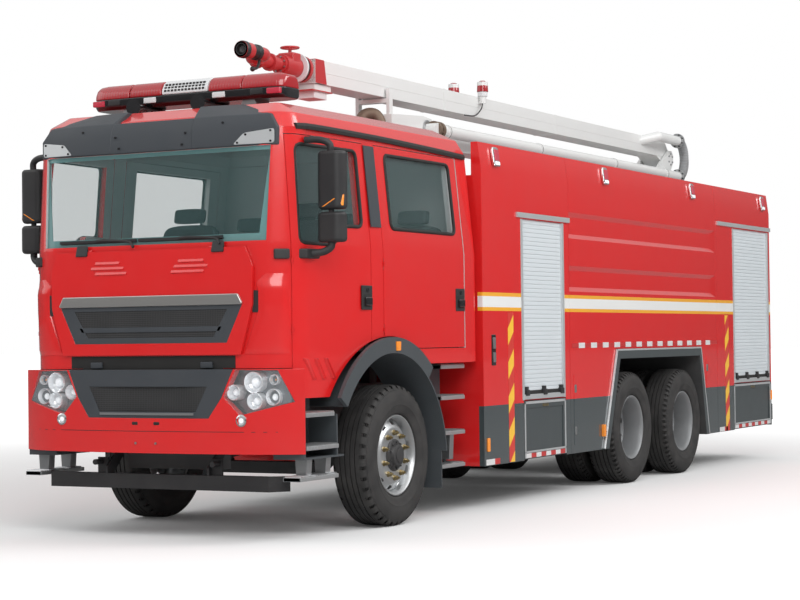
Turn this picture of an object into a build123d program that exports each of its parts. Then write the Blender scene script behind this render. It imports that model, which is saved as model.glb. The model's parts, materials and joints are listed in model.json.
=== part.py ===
from build123d import *
import math
import os

os.makedirs("parts", exist_ok=True)

# Millimetres. X to the truck's left, Y to the rear from the front axle, Z up from the ground.
# Every piece is moved forward at export so that the overall length is centred on Y = 0.

# Overall
NOSE_Y = -1585.0
SEAT_GAP = 0.3
RUN_GAP = 6.0

# Wheels and axles
WHEELBASE = 4600.0
BOGIE_SPACING = 1400.0
REAR_AXLE_Y = WHEELBASE + BOGIE_SPACING
HUB_Z = 525.0
TYRE_R = 525.0
TYRE_W = 312.0
BEAD_R = 290.0
RIM_LIP_R = 302.0
RIM_WALL = 14.0
FRONT_WHEEL_X = 1020.0
TWIN_OUTER_X = 1090.0
TWIN_PITCH = 351.0
KINGPIN_X = 880.0
KINGPIN_R = 25.0
FIST_R = 55.0
FIST_H = 170.0
EAR_T = 32.0
SPINDLE_R = 45.0
REAR_SPINDLE_R = 60.0
PIN_GAP = 0.06
AXLE_TUBE_R = 75.0
DIFF_R = 205.0
DRUM_R = 200.0

# Chassis frame
RAIL_OUT = 425.0
RAIL_FLANGE = 80.0
RAIL_T = 8.0
RAIL_BOT = 760.0
RAIL_TOP = 1040.0
RAIL_FRONT = -1110.0
RAIL_REAR = REAR_AXLE_Y + 2700.0
CROSS_W = 80.0
SPRING_W = 80.0
SPRING_T = 60.0
SPRING_HALF = 750.0

# Cab shell
CAB_WALL = 60.0
CAB_REAR = 1240.0
CAB_BOTTOM = 990.0
SILL_Z = 1200.0
BELT_Z = 2050.0
GUTTER_Z = 2860.0
ROOF_RISE = 190.0
ROOF_TOP = GUTTER_Z + ROOF_RISE
TAPER_Y = -250.0
FLOOR_Z = 1305.0
FLOOR_T = 50.0
CAB_SPLIT_Y = -1380.0

# Cab doors
DOOR_TOP = GUTTER_Z - 50.0
GLASS_DROP = 65.0
DOOR_PIN_R = 5.0
DOOR_PIN_OUT = 1.5
COLLAR_R = 11.0
COLLAR_IN = 26.0
FRONT_DOOR_REAR = -455.0
REAR_DOOR_FRONT = -285.0
REAR_DOOR_REAR = 1039.0
REAR_DOOR_BOTTOM = 1320.0
DOOR_GAP = 6.0
LATCH_GAP = 14.0
PANE_T = 6.0
PANE_DEPTH = 20.0

# Front wing
ARCH_Y = -203.0
ARCH_Z = 449.0
ARCH_IN_R = 838.0
ARCH_OUT_R = 955.0
LINER_T = 12.0
WING_X = 1245.0
LINER_X = 820.0

# Front end
BUMPER_TOP = 1195.0
BUMPER_BOT = 610.0
BUMPER_WALL = 60.0
BUMPER_SIDE = 1190.0
STEP_FRONT_Y = CAB_SPLIT_Y - 10.0
BUMPER_END = STEP_FRONT_Y
FLAP_T = 22.0
FLAP_GAP = 6.0
FLAP_TOP = 2038.0
FLAP_BOT = 1296.0
SCREEN_LOW = 2078.0
SCREEN_HIGH = GUTTER_Z - 125.0
SCREEN_HALF = 945.0

# Body
BODY_FRONT = 1298.0
SEAM_FRONT = WHEELBASE - 1540.0
SEAM_REAR = REAR_AXLE_Y + 1002.0
BODY_REAR = SEAM_REAR + 1858.0
REAR_BUMPER_Y = BODY_REAR + 35.0
BODY_HALF = 1250.0
BODY_BOT = 361.0
CREASE_DROP = 110.0
BODY_CREASE = GUTTER_Z - CREASE_DROP
PARAPET_RISE = 217.0
BODY_TOP = BODY_CREASE + PARAPET_RISE
BODY_TOP_HALF = BODY_HALF - 30.0
PARAPET_T = 60.0
DECK_DROP = 50.0
DECK_Z = BODY_CREASE - DECK_DROP
SEAM_GAP = 4.0
TUNNEL_HALF = 470.0
ARCH_TOP = 1180.0
SHUTTER_DEPTH = 30.0
SHUTTER_T = 18.0
SLAT_PITCH = 60.0
POCKET_DEPTH = 350.0
FLAP_STEP_T = 32.0
FLAP_PIN_R = 8.0
FLAP_LOW = 372.0
FLAP_HIGH = 855.0

# Boom
SLEW_Y = 2200.0
SLEW_R = 520.0
SLEW_BASE_H = 160.0
SLEW_BASE_TOP = DECK_Z + SLEW_BASE_H
TABLE_T = 40.0
CHEEK_IN = 150.0
CHEEK_T = 40.0
LUFF_Y = 2420.0
LUFF_RISE = 370.0
LUFF_Z = SLEW_BASE_TOP + LUFF_RISE
LUFF_PIN_R = 40.0
LOW_BOOM_HALF = 115.0
LOW_BOOM_H = 220.0
LOW_BOOM_BOT = LUFF_Z - 140.0
LOW_BOOM_TOP = LOW_BOOM_BOT + LOW_BOOM_H
ELBOW_Y = BODY_REAR - 210.0
ELBOW_RISE = 115.0
ELBOW_Z = LOW_BOOM_TOP + ELBOW_RISE
ELBOW_PIN_R = 45.0
UP_BOOM_HALF = 120.0
UP_BOOM_H = 190.0
UP_BOOM_BOT = ELBOW_Z + 20.0
UP_BOOM_TOP = UP_BOOM_BOT + UP_BOOM_H
UP_BOOM_HEAD = 620.0
PIPE_X = 250.0
PIPE_R = 54.0
HOOP_R = 205.0
MONITOR_Z = UP_BOOM_BOT + 115.0

TAIL_Y = ELBOW_Y + HOOP_R + PIPE_R
Y_MID = (NOSE_Y + TAIL_Y) / 2.0


def save(name, shape):
    """Writes one node, moved so that the overall length is centred."""
    export_step(Pos(0, -Y_MID, 0) * Compound(children=list(shape.solids())), f"parts/{name}.step")


def block(x0, x1, y0, y1, z0, z1):
    """A box between two corners."""
    return Pos((x0 + x1) / 2, (y0 + y1) / 2, (z0 + z1) / 2) * Box(abs(x1 - x0), abs(y1 - y0), abs(z1 - z0))


def side_prism(points, x0, x1):
    """A polygon of (y, z) points drawn on the side of the truck and run from x0 to x1."""
    face = make_face(Polyline(*[(x0, y, z) for y, z in points], close=True))
    return extrude(face, amount=x1 - x0, dir=(1, 0, 0))


def shrunk(points, gap):
    """A polygon of (x, y) points moved inward by gap."""
    inner = offset(make_face(Polyline(*points, close=True)), amount=-gap, kind=Kind.INTERSECTION)
    return [(e.position_at(0).X, e.position_at(0).Y) for e in inner.face().outer_wire().order_edges()]


def front_prism(points, y0, y1):
    """A polygon of (x, z) points drawn on the front of the truck and run from y0 to y1."""
    face = make_face(Polyline(*[(x, y0, z) for x, z in points], close=True))
    return extrude(face, amount=y1 - y0, dir=(0, 1, 0))


def rod_x(x0, x1, y, z, r):
    """A round bar along X."""
    return Pos((x0 + x1) / 2, y, z) * Rot(0, 90, 0) * Cylinder(r, abs(x1 - x0))


def rod_y(x, y0, y1, z, r):
    """A round bar along Y."""
    return Pos(x, (y0 + y1) / 2, z) * Rot(90, 0, 0) * Cylinder(r, abs(y1 - y0))


def rod_z(x, y, z0, z1, r):
    """A round bar along Z."""
    return Pos(x, y, (z0 + z1) / 2) * Cylinder(r, abs(z1 - z0))


def bar(a, b, r):
    """A round bar between two points."""
    va = Vector(*a)
    vb = Vector(*b)
    plane = Plane(origin=a, z_dir=(vb - va).normalized())
    return plane * Pos(0, 0, (vb - va).length / 2) * Cylinder(r, (vb - va).length)


def to_right(shape):
    """The same piece on the other side of the truck."""
    return mirror(shape, about=Plane.YZ)


def turned(profile, y, z):
    """A closed profile of (x, radius) points turned about an axle along X."""
    face = make_face(Polyline(*[(x, 0, r) for x, r in profile], close=True))
    return Pos(0, y, z) * revolve(face, axis=Axis.X, revolution_arc=360)


# Wheels

def tyre_profile(cx):
    """Half section of a tyre: (x, radius)."""
    h = TYRE_W / 2
    return [
        (cx - h * 0.68, BEAD_R), (cx - h * 0.68, RIM_LIP_R + 4), (cx - h * 0.90, RIM_LIP_R + 18),
        (cx - h, TYRE_R - 120), (cx - h * 0.96, TYRE_R - 50),
        (cx - h * 0.80, TYRE_R - 12), (cx - h * 0.55, TYRE_R), (cx + h * 0.55, TYRE_R),
        (cx + h * 0.80, TYRE_R - 12),
        (cx + h * 0.96, TYRE_R - 50), (cx + h, TYRE_R - 120), (cx + h * 0.90, RIM_LIP_R + 18),
        (cx + h * 0.68, RIM_LIP_R + 4), (cx + h * 0.68, BEAD_R),
    ]


def rim_barrel(cx):
    """Half section of a rim's barrel with its two lips: (x, radius)."""
    h = TYRE_W / 2
    top = BEAD_R - SEAT_GAP
    return [
        (cx - h * 0.80, RIM_LIP_R), (cx - h * 0.69, RIM_LIP_R), (cx - h * 0.69, top), (cx + h * 0.69, top),
        (cx + h * 0.69, RIM_LIP_R), (cx + h * 0.80, RIM_LIP_R), (cx + h * 0.80, RIM_LIP_R - RIM_WALL),
        (cx + h * 0.60, top - RIM_WALL), (cx - h * 0.60, top - RIM_WALL),
        (cx - h * 0.80, RIM_LIP_R - RIM_WALL),
    ]


def front_rim():
    """Rim, dished disc and hub of a left front wheel."""
    cx = FRONT_WHEEL_X
    bore = SPINDLE_R + PIN_GAP
    barrel = turned(rim_barrel(cx), 0, HUB_Z)
    inner = BEAD_R - RIM_WALL - 3
    disc = turned([(cx + 50, inner + 4), (cx + 62, inner + 4), (cx + 104, 200), (cx + 104, bore),
                   (cx + 88, bore),
                   (cx + 88, 190)], 0, HUB_Z)
    hub = turned([(cx + 10, bore), (cx + 10, 95), (cx + 104, 95), (cx + 120, 80), (cx + 128, 72),
                  (cx + 128, bore)], 0, HUB_Z)
    return barrel + disc + hub


def twin_rims(y):
    """Two barrels back to back on one hub and brake drum, left side."""
    ca = TWIN_OUTER_X
    cb = TWIN_OUTER_X - TWIN_PITCH
    mid = (ca + cb) / 2
    bore = REAR_SPINDLE_R + PIN_GAP
    inner = BEAD_R - RIM_WALL - 3
    web = turned([(mid - 14, bore), (mid - 14, 200), (cb + 60, inner + 4), (cb + 74, inner + 4),
                  (mid - 2, 214), (mid + 2, 214),
                  (ca - 74, inner + 4), (ca - 60, inner + 4), (mid + 14, 200), (mid + 14, bore)], y, HUB_Z)
    hub = turned([(mid - 14, bore), (mid - 14, 130), (mid + 14, 130), (mid + 20, 95), (mid + 110, 95),
                  (mid + 120, 85),
                  (mid + 120, bore)], y, HUB_Z)
    drum = turned([(mid - 190, 178), (mid - 190, DRUM_R), (mid - 10, DRUM_R), (mid - 10, bore),
                   (mid - 30, bore),
                   (mid - 30, 178)], y, HUB_Z)
    return turned(rim_barrel(ca), y, HUB_Z) + turned(rim_barrel(cb), y, HUB_Z) + web + hub + drum


front_tyre = turned(tyre_profile(FRONT_WHEEL_X), 0, HUB_Z)
save("tyre_front_left", front_tyre)
save("tyre_front_right", to_right(front_tyre))
left_rim = front_rim()
save("rim_front_left", left_rim)
save("rim_front_right", to_right(left_rim))
for label, axle_y in (("mid", WHEELBASE), ("rear", WHEELBASE + BOGIE_SPACING)):
    outer_tyre = turned(tyre_profile(TWIN_OUTER_X), axle_y, HUB_Z)
    inner_tyre = turned(tyre_profile(TWIN_OUTER_X - TWIN_PITCH), axle_y, HUB_Z)
    pair = Part() + [outer_tyre, inner_tyre]
    rims = twin_rims(axle_y)
    save(f"tyres_{label}_left", pair)
    save(f"tyres_{label}_right", to_right(pair))
    save(f"rims_{label}_left", rims)
    save(f"rims_{label}_right", to_right(rims))

# Front axle with leaf springs, and steering knuckles

def leaf_spring(y_mid, half, z_end, z_mid):
    """A bowed pack of leaves under the left rail, as one band of even thickness."""
    x0 = RAIL_OUT - SPRING_W
    low = ThreePointArc((x0, y_mid - half, z_end), (x0, y_mid, z_mid), (x0, y_mid + half, z_end))
    high = ThreePointArc((x0, y_mid + half, z_end + SPRING_T), (x0, y_mid, z_mid + SPRING_T),
                         (x0, y_mid - half, z_end + SPRING_T))
    end_a = Line(low @ 1, high @ 0)
    end_b = Line(high @ 1, low @ 0)
    return extrude(make_face(Curve() + [low, end_a, high, end_b]), amount=SPRING_W, dir=(1, 0, 0))


beam_top = HUB_Z + 45
beam_bottom = HUB_Z - 45
drop = 110.0
beam_outline = [
    (KINGPIN_X, beam_bottom), (KINGPIN_X, beam_top), (640, beam_top), (520, beam_top - drop),
    (-520, beam_top - drop),
    (-640, beam_top), (-KINGPIN_X, beam_top), (-KINGPIN_X, beam_bottom), (-620, beam_bottom),
    (-500, beam_bottom - drop),
    (500, beam_bottom - drop), (620, beam_bottom),
]
front_axle = front_prism(beam_outline, -55, 55)
for side in (1, -1):
    front_axle += rod_z(side * KINGPIN_X, 0, HUB_Z - FIST_H / 2, HUB_Z + FIST_H / 2, FIST_R)
    front_axle -= rod_z(side * KINGPIN_X, 0, HUB_Z - FIST_H, HUB_Z + FIST_H, KINGPIN_R + PIN_GAP)
spring_mid_z = beam_top - drop + 20
front_spring = leaf_spring(0, SPRING_HALF, RAIL_BOT - 120, spring_mid_z)
front_spring += block(RAIL_OUT - SPRING_W, RAIL_OUT, -70, 70, beam_top - drop - 10, spring_mid_z + 20)
for end in (-1, 1):
    front_spring += block(RAIL_OUT - SPRING_W, RAIL_OUT, end * SPRING_HALF - 45, end * SPRING_HALF + 45,
                          RAIL_BOT - 110, RAIL_BOT)
front_axle += front_spring
front_axle += to_right(front_spring)
save("front_axle", front_axle)

ear_in = HUB_Z + FIST_H / 2 + SEAT_GAP
knuckle = rod_z(KINGPIN_X, 0, ear_in, ear_in + EAR_T, FIST_R)
knuckle += block(KINGPIN_X, KINGPIN_X + 110, -FIST_R, FIST_R, ear_in, ear_in + EAR_T)
lower_ear = mirror(knuckle, about=Plane.XY.offset(HUB_Z))
knuckle += lower_ear
knuckle += block(KINGPIN_X + FIST_R + 12, KINGPIN_X + 110, -FIST_R, FIST_R, HUB_Z - FIST_H / 2 - EAR_T,
                 HUB_Z + FIST_H / 2 + EAR_T)
knuckle += rod_z(KINGPIN_X, 0, HUB_Z - FIST_H / 2 - EAR_T, HUB_Z + FIST_H / 2 + EAR_T, KINGPIN_R)
knuckle += rod_x(KINGPIN_X + 100, FRONT_WHEEL_X + 127, 0, HUB_Z, SPINDLE_R)
save("knuckle_left", knuckle)
save("knuckle_right", to_right(knuckle))

# Rear axles with bogie springs

rear_axles = Part()
spindle_end = TWIN_OUTER_X - TWIN_PITCH / 2 + 119
for axle_y in (WHEELBASE, WHEELBASE + BOGIE_SPACING):
    rear_axles += rod_x(-spindle_end, spindle_end, axle_y, HUB_Z, REAR_SPINDLE_R)
    rear_axles += rod_x(-690, 690, axle_y, HUB_Z, AXLE_TUBE_R)
    rear_axles += Pos(0, axle_y, HUB_Z) * Rot(0, 90, 0) * Cylinder(DIFF_R, 150)
    rear_axles += Pos(0, axle_y, HUB_Z) * Rot(0, 90, 0) * Cone(DIFF_R, AXLE_TUBE_R, 260,
                                                               align=(Align.CENTER, Align.CENTER,
                                                                      Align.MIN))
    rear_axles += Pos(0, axle_y, HUB_Z) * Rot(0, -90, 0) * Cone(DIFF_R, AXLE_TUBE_R, 260,
                                                                align=(Align.CENTER, Align.CENTER,
                                                                       Align.MIN))
    rear_axles += rod_y(0, axle_y - DIFF_R - 120, axle_y - DIFF_R + 60, HUB_Z + 30, 90)
bogie_mid = WHEELBASE + BOGIE_SPACING / 2
bogie_spring = leaf_spring(bogie_mid, BOGIE_SPACING / 2 + 60, HUB_Z + AXLE_TUBE_R - 8, RAIL_BOT - 130)
bogie_spring += block(RAIL_OUT - SPRING_W, RAIL_OUT, bogie_mid - 110, bogie_mid + 110, RAIL_BOT - 110,
                      RAIL_BOT)
rear_axles += bogie_spring
rear_axles += to_right(bogie_spring)
save("rear_axles", rear_axles)

# Frame rails, cross members and power unit

rail = block(RAIL_OUT - RAIL_FLANGE, RAIL_OUT, RAIL_FRONT, RAIL_REAR, RAIL_BOT, RAIL_TOP)
rail -= block(RAIL_OUT - RAIL_FLANGE - 1, RAIL_OUT - RAIL_T, RAIL_FRONT - 1, RAIL_REAR + 1,
              RAIL_BOT + RAIL_T, RAIL_TOP - RAIL_T)
save("rails", Part() + [rail, to_right(rail)])

cross_members = Part()
rear_crosses = (
    SEAM_FRONT + 140, SEAM_FRONT + 990, REAR_AXLE_Y - 700, REAR_AXLE_Y + 600, REAR_AXLE_Y + 1600,
    RAIL_REAR - 100,
)
for cross_y in (RAIL_FRONT + 90, 1500, 2350) + rear_crosses:
    cross = block(-RAIL_OUT + RAIL_T, RAIL_OUT - RAIL_T, cross_y, cross_y + CROSS_W, RAIL_BOT + 40,
                  RAIL_TOP - 60)
    cross -= block(-RAIL_OUT, RAIL_OUT, cross_y + RAIL_T, cross_y + CROSS_W + 1, RAIL_BOT + 40 + RAIL_T,
                   RAIL_TOP - 60 - RAIL_T)
    cross_members += cross
save("cross_members", cross_members)

ENGINE_HALF = 320.0
engine = block(-ENGINE_HALF, ENGINE_HALF, -820, 480, 640, 1240)
engine += rod_y(0, 480, 700, 860, 290)
engine += block(-190, 190, 690, 1280, 690, 1030)
for mount_y in (-640, 1150):
    engine += block(-RAIL_OUT + RAIL_T, RAIL_OUT - RAIL_T, mount_y, mount_y + 120, 860, 950)
radiator = block(-400, 400, RAIL_FRONT - 130, RAIL_FRONT, 480, 1160)
save("engine", Part() + [engine, radiator])

# Front underrun bar with tow pins

BAR_BOT = 350.0
BAR_TOP = 454.0
bar_plan = [
    (-1027, -1330), (-930, -1456), (930, -1456), (1027, -1330), (1000, -1310), (905, -1376),
    (-905, -1376), (-1000, -1310),
]
bar_face = make_face(Polyline(*[(x, y, BAR_BOT) for x, y in bar_plan], close=True))
underrun = extrude(bar_face, amount=BAR_TOP - BAR_BOT, dir=(0, 0, 1))
TOW_X = 500.0
TOW_Z = 535.0
TOW_R = 20.0
TOW_FRONT = -1505.0
TOW_BACK = -1425.0
TOW_PLATE = 16.0
for side in (1, -1):
    hanger = side_prism([(-1456, BAR_TOP - 2), (-1376, BAR_TOP - 2), (-1060, RAIL_BOT + 20),
                         (-1060, RAIL_TOP - 40), (-1105, RAIL_TOP - 40),
                         (-1300, 640), (-1456, 505)], RAIL_OUT, RAIL_OUT + TOW_PLATE)
    jaw = block(RAIL_OUT + TOW_PLATE - 1, TOW_X + 32, TOW_BACK, TOW_BACK + TOW_PLATE, BAR_TOP - 2,
                TOW_Z + 32)
    jaw += rod_y(TOW_X, TOW_FRONT, TOW_BACK + 1, TOW_Z, TOW_R)
    underrun += (hanger + jaw) if side > 0 else to_right(hanger + jaw)
save("underrun_bar", underrun)

# Cab shell: plan sections that narrow above the belt line

# level: z, half width at the rear, half width at the front corner, nose y, corner radius
CAB_LEVELS = {
    "belt": (BELT_Z, 1212.0, 1140.0, -1500.0, 300.0),
    "gutter": (GUTTER_Z, 1130.0, 1100.0, -1440.0, 230.0),
}


def cab_plan(z, inset):
    """The cab's plan outline at one height, moved inward by inset."""
    low = CAB_LEVELS["belt"]
    high = CAB_LEVELS["gutter"]
    t = max(0.0, (z - low[0]) / (high[0] - low[0]))
    half, front_half, nose, radius = [a + (b - a) * t for a, b in zip(low[1:], high[1:])]
    half -= inset
    front_half -= inset
    nose += inset
    radius = max(radius - inset, 30.0)
    rear = CAB_REAR - inset
    c = math.cos(math.radians(45))
    side = Polyline((front_half, nose + radius, z), (half, TAPER_Y, z), (half, rear, z),
                    (-half, rear, z), (-half, TAPER_Y, z),
                    (-front_half, nose + radius, z))
    arc_r = ThreePointArc((-front_half, nose + radius, z),
                          (-front_half + radius - radius * c, nose + radius - radius * c, z),
                          (-front_half + radius, nose, z))
    face_line = Line((-front_half + radius, nose, z), (front_half - radius, nose, z))
    arc_l = ThreePointArc((front_half - radius, nose, z),
                          (front_half - radius + radius * c, nose + radius - radius * c, z),
                          (front_half, nose + radius, z))
    return make_face(Curve() + [side, arc_r, face_line, arc_l])


def cab_solid(inset, z0, z1):
    """The cab's filled form between two heights, moved inward by inset."""
    return loft([cab_plan(z0, inset), cab_plan(BELT_Z, inset), cab_plan(z1, inset)], ruled=True)


# hinge axes stand just outside the skin at the front edge of each door
belt_half, belt_front, belt_nose, belt_r = CAB_LEVELS["belt"][1:]
FRONT_HINGE_Y = CAB_SPLIT_Y + DOOR_GAP
hinge_reach = math.sqrt(belt_r ** 2 - (FRONT_HINGE_Y - belt_nose - belt_r) ** 2)
FRONT_HINGE_X = belt_front - belt_r + hinge_reach + DOOR_PIN_OUT
REAR_HINGE_X = belt_half + DOOR_PIN_OUT
# hinge pin: z low and z high
DOOR_PINS = ((1420.0, 1500.0), (1900.0, 1980.0))


def hinge_rods(hinge_x, hinge_y, margin, r):
    """Upright rods on a door's hinge axis, each shorter than its pin by a margin at both ends."""
    rods = Part()
    for pin_low, pin_high in DOOR_PINS:
        rods += rod_z(hinge_x, hinge_y, pin_low + margin, pin_high - margin, r)
    return rods


def hinge_collars(hinge_x, hinge_y):
    """The fixed collars that a door's pins turn in."""
    return hinge_rods(hinge_x, hinge_y, COLLAR_IN, COLLAR_R) - hinge_rods(hinge_x, hinge_y, 0,
                                                                          DOOR_PIN_R + PIN_GAP)


cab_outer = cab_solid(0, CAB_BOTTOM, GUTTER_Z)
cab_shell = cab_outer - cab_solid(CAB_WALL, CAB_BOTTOM - 20, GUTTER_Z + 20)
far = 2000.0

roof_outer = loft([cab_plan(GUTTER_Z, 0), cab_plan(GUTTER_Z, 50).moved(Location((0, 0, 110))),
                   cab_plan(GUTTER_Z, 190).moved(Location((0, 0, ROOF_TOP - GUTTER_Z)))], ruled=True)
roof_inner = loft([cab_plan(GUTTER_Z, CAB_WALL).moved(Location((0, 0, -1))),
                   cab_plan(GUTTER_Z, CAB_WALL + 50).moved(Location((0, 0, 80))),
                   cab_plan(GUTTER_Z, CAB_WALL + 210).moved(Location((0, 0,
                                                                      ROOF_TOP - GUTTER_Z - 50)))],
                                                                      ruled=True)
save("cab_roof", roof_outer - roof_inner)

front_zone = block(-far, far, -far, CAB_SPLIT_Y, SILL_Z, GUTTER_Z + 1)
cab_front = cab_shell & front_zone
screen_outline = [(-SCREEN_HALF, SCREEN_LOW), (SCREEN_HALF, SCREEN_LOW),
                  (SCREEN_HALF + 15, SCREEN_HIGH), (-SCREEN_HALF - 15, SCREEN_HIGH)]
screen_hole = front_prism(screen_outline, -far, CAB_SPLIT_Y)
cab_front -= screen_hole
glass_layer = cab_solid(PANE_DEPTH, SILL_Z, GUTTER_Z) - cab_solid(PANE_DEPTH + PANE_T, SILL_Z - 1,
                                                                  GUTTER_Z + 1)
windscreen = glass_layer & front_prism(shrunk(screen_outline, SEAT_GAP), -far, CAB_SPLIT_Y)
front_collars = hinge_collars(FRONT_HINGE_X, FRONT_HINGE_Y)
cab_front += front_collars
cab_front += to_right(front_collars)
save("cab_front", Part() + [cab_front, windscreen])

cab_back = cab_shell & block(-far, far, CAB_REAR - CAB_WALL, far, SILL_Z, GUTTER_Z + 1)
save("cab_back", cab_back)

arch_gap_r = ARCH_OUT_R + RUN_GAP
door_arch = rod_x(0, far, ARCH_Y, ARCH_Z, arch_gap_r)
side_zone = block(0, far, CAB_SPLIT_Y, CAB_REAR - CAB_WALL, CAB_BOTTOM - 1, GUTTER_Z + 1)
left_shell = cab_shell & side_zone
front_door_outline = [(CAB_SPLIT_Y + DOOR_GAP, CAB_BOTTOM), (FRONT_DOOR_REAR, CAB_BOTTOM),
                      (FRONT_DOOR_REAR, DOOR_TOP),
                      (CAB_SPLIT_Y + DOOR_GAP, DOOR_TOP)]
front_opening = [(CAB_SPLIT_Y - 1, CAB_BOTTOM - 9), (FRONT_DOOR_REAR + DOOR_GAP, CAB_BOTTOM - 9),
                 (FRONT_DOOR_REAR + DOOR_GAP, DOOR_TOP + DOOR_GAP), (CAB_SPLIT_Y - 1, DOOR_TOP + DOOR_GAP)]
rear_door_outline = [(REAR_DOOR_FRONT, REAR_DOOR_BOTTOM), (REAR_DOOR_REAR, REAR_DOOR_BOTTOM),
                     (REAR_DOOR_REAR, DOOR_TOP),
                     (REAR_DOOR_FRONT, DOOR_TOP)]
rear_opening = [(REAR_DOOR_FRONT - DOOR_GAP, REAR_DOOR_BOTTOM - DOOR_GAP),
                (REAR_DOOR_REAR + LATCH_GAP, REAR_DOOR_BOTTOM - DOOR_GAP),
                (REAR_DOOR_REAR + LATCH_GAP, DOOR_TOP + DOOR_GAP),
                (REAR_DOOR_FRONT - DOOR_GAP, DOOR_TOP + DOOR_GAP)]
glass_top = DOOR_TOP - GLASS_DROP
front_window = [(-1310, 2062), (-930, 2062), (-780, 2200), (-555, 2200), (-555, glass_top),
                (-1310, glass_top)]
rear_window = [(-140, 2205), (910, 2205), (910, glass_top + 5), (-140, glass_top + 5)]

cab_side = left_shell - side_prism(front_opening, 1, far) - side_prism(rear_opening, 1, far) - door_arch
cab_side -= block(0, far, -far, far, CAB_BOTTOM - 2, SILL_Z)
cab_side += hinge_collars(REAR_HINGE_X, REAR_DOOR_FRONT)
save("cab_side_left", cab_side)
save("cab_side_right", to_right(cab_side))


def cab_door(outline, window, hinge_x, hinge_y):
    """A door cut from the left wall with its window and hinge pins, and the pane set in it."""
    panel = (left_shell & side_prism(outline, 1, far)) - door_arch
    panel -= side_prism(window, 1, far)
    panel -= hinge_rods(hinge_x, hinge_y, COLLAR_IN - 1, COLLAR_R + 3)
    panel += hinge_rods(hinge_x, hinge_y, 0, DOOR_PIN_R)
    pane = glass_layer & side_prism(shrunk(window, SEAT_GAP), 1, far)
    return Part() + [panel, pane]


front_door = cab_door(front_door_outline, front_window, FRONT_HINGE_X, FRONT_HINGE_Y)
rear_door = cab_door(rear_door_outline, rear_window, REAR_HINGE_X, REAR_DOOR_FRONT)
save("door_front_left", front_door)
save("door_front_right", to_right(front_door))
save("door_rear_left", rear_door)
save("door_rear_right", to_right(rear_door))

floor_plan = cab_plan(FLOOR_Z, CAB_WALL)
cab_floor = extrude(floor_plan, amount=FLOOR_T, dir=(0, 0, 1)) & block(-far, far, CAB_SPLIT_Y, far,
                                                                       FLOOR_Z, FLOOR_Z + FLOOR_T)
for bolster_y in (-900, 900):
    cab_floor += block(-RAIL_OUT, -RAIL_OUT + SPRING_W, bolster_y, bolster_y + 120, RAIL_TOP, FLOOR_Z + 1)
    cab_floor += block(RAIL_OUT - SPRING_W, RAIL_OUT, bolster_y, bolster_y + 120, RAIL_TOP, FLOOR_Z + 1)
# room for the doors: a gap along their inner faces, and round the hinges what their front edges sweep
door_zone = side_prism(front_opening, -far, far) + side_prism(rear_opening, -far, far)
door_room = (cab_solid(CAB_WALL - 1, SILL_Z, GUTTER_Z) - cab_solid(CAB_WALL + DOOR_GAP, SILL_Z - 1,
                                                                   GUTTER_Z + 1)) & door_zone
inner_reach = math.sqrt((belt_r - CAB_WALL) ** 2 - (FRONT_HINGE_Y - belt_nose - belt_r) ** 2)
hinge_sweep = hinge_reach - inner_reach + DOOR_PIN_OUT + DOOR_GAP
for side in (1, -1):
    door_room += rod_z(side * FRONT_HINGE_X, FRONT_HINGE_Y, SILL_Z, BELT_Z, hinge_sweep)
cab_floor -= door_room
save("cab_floor", cab_floor)

# Cab interior that shows through the glass

SEAT_Z = FLOOR_Z + FLOOR_T
DRIVER_X = 520.0
dash_outline = [(-1375, SEAT_Z), (-1180, SEAT_Z), (-1090, 1760), (-1080, 1900), (-1150, 1990),
                (-1375, 1960)]
dashboard = side_prism(dash_outline, -1020, 1020) & cab_solid(CAB_WALL + SEAT_GAP, SILL_Z, GUTTER_Z)
dashboard -= door_room
wheel_plane = Plane(origin=(DRIVER_X, -960, 1990), z_dir=(0, 0.55, 0.835))
dashboard += wheel_plane * Torus(215, 17)
dashboard += wheel_plane * Pos(0, 0, -60) * Cone(60, 45, 90)
for spoke in (90, 210, 330):
    dashboard += wheel_plane * Rot(0, 0, spoke) * Pos(120, 0, -10) * Box(210, 34, 16)
dashboard += bar((DRIVER_X, -980, 1960), (DRIVER_X, -1150, 1700), 34)
save("dashboard", dashboard)

# seat: x, y of the cushion's front edge, width, depth, cushion z, back height
SEATS = ((DRIVER_X, -760, 520, 520, 1740, 2420), (-DRIVER_X, -760, 520, 520, 1740, 2420),
         (0, 520, 2040, 540, 1740, 2420))
seats = Part()
for seat_x, seat_y, seat_w, seat_d, cushion_z, back_z in SEATS:
    x0 = seat_x - seat_w / 2
    x1 = seat_x + seat_w / 2
    seat = block(x0 + 40, x1 - 40, seat_y + 40, seat_y + seat_d - 40, SEAT_Z, cushion_z - 140)
    seat += block(x0, x1, seat_y, seat_y + seat_d, cushion_z - 150, cushion_z)
    seat += side_prism([(seat_y + seat_d - 130, cushion_z - 20), (seat_y + seat_d, cushion_z - 20),
                        (seat_y + seat_d + 90, back_z),
                        (seat_y + seat_d, back_z)], x0, x1)
    seats += seat
save("seats", seats)

# Visor over the windscreen and light bar on the roof

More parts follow.
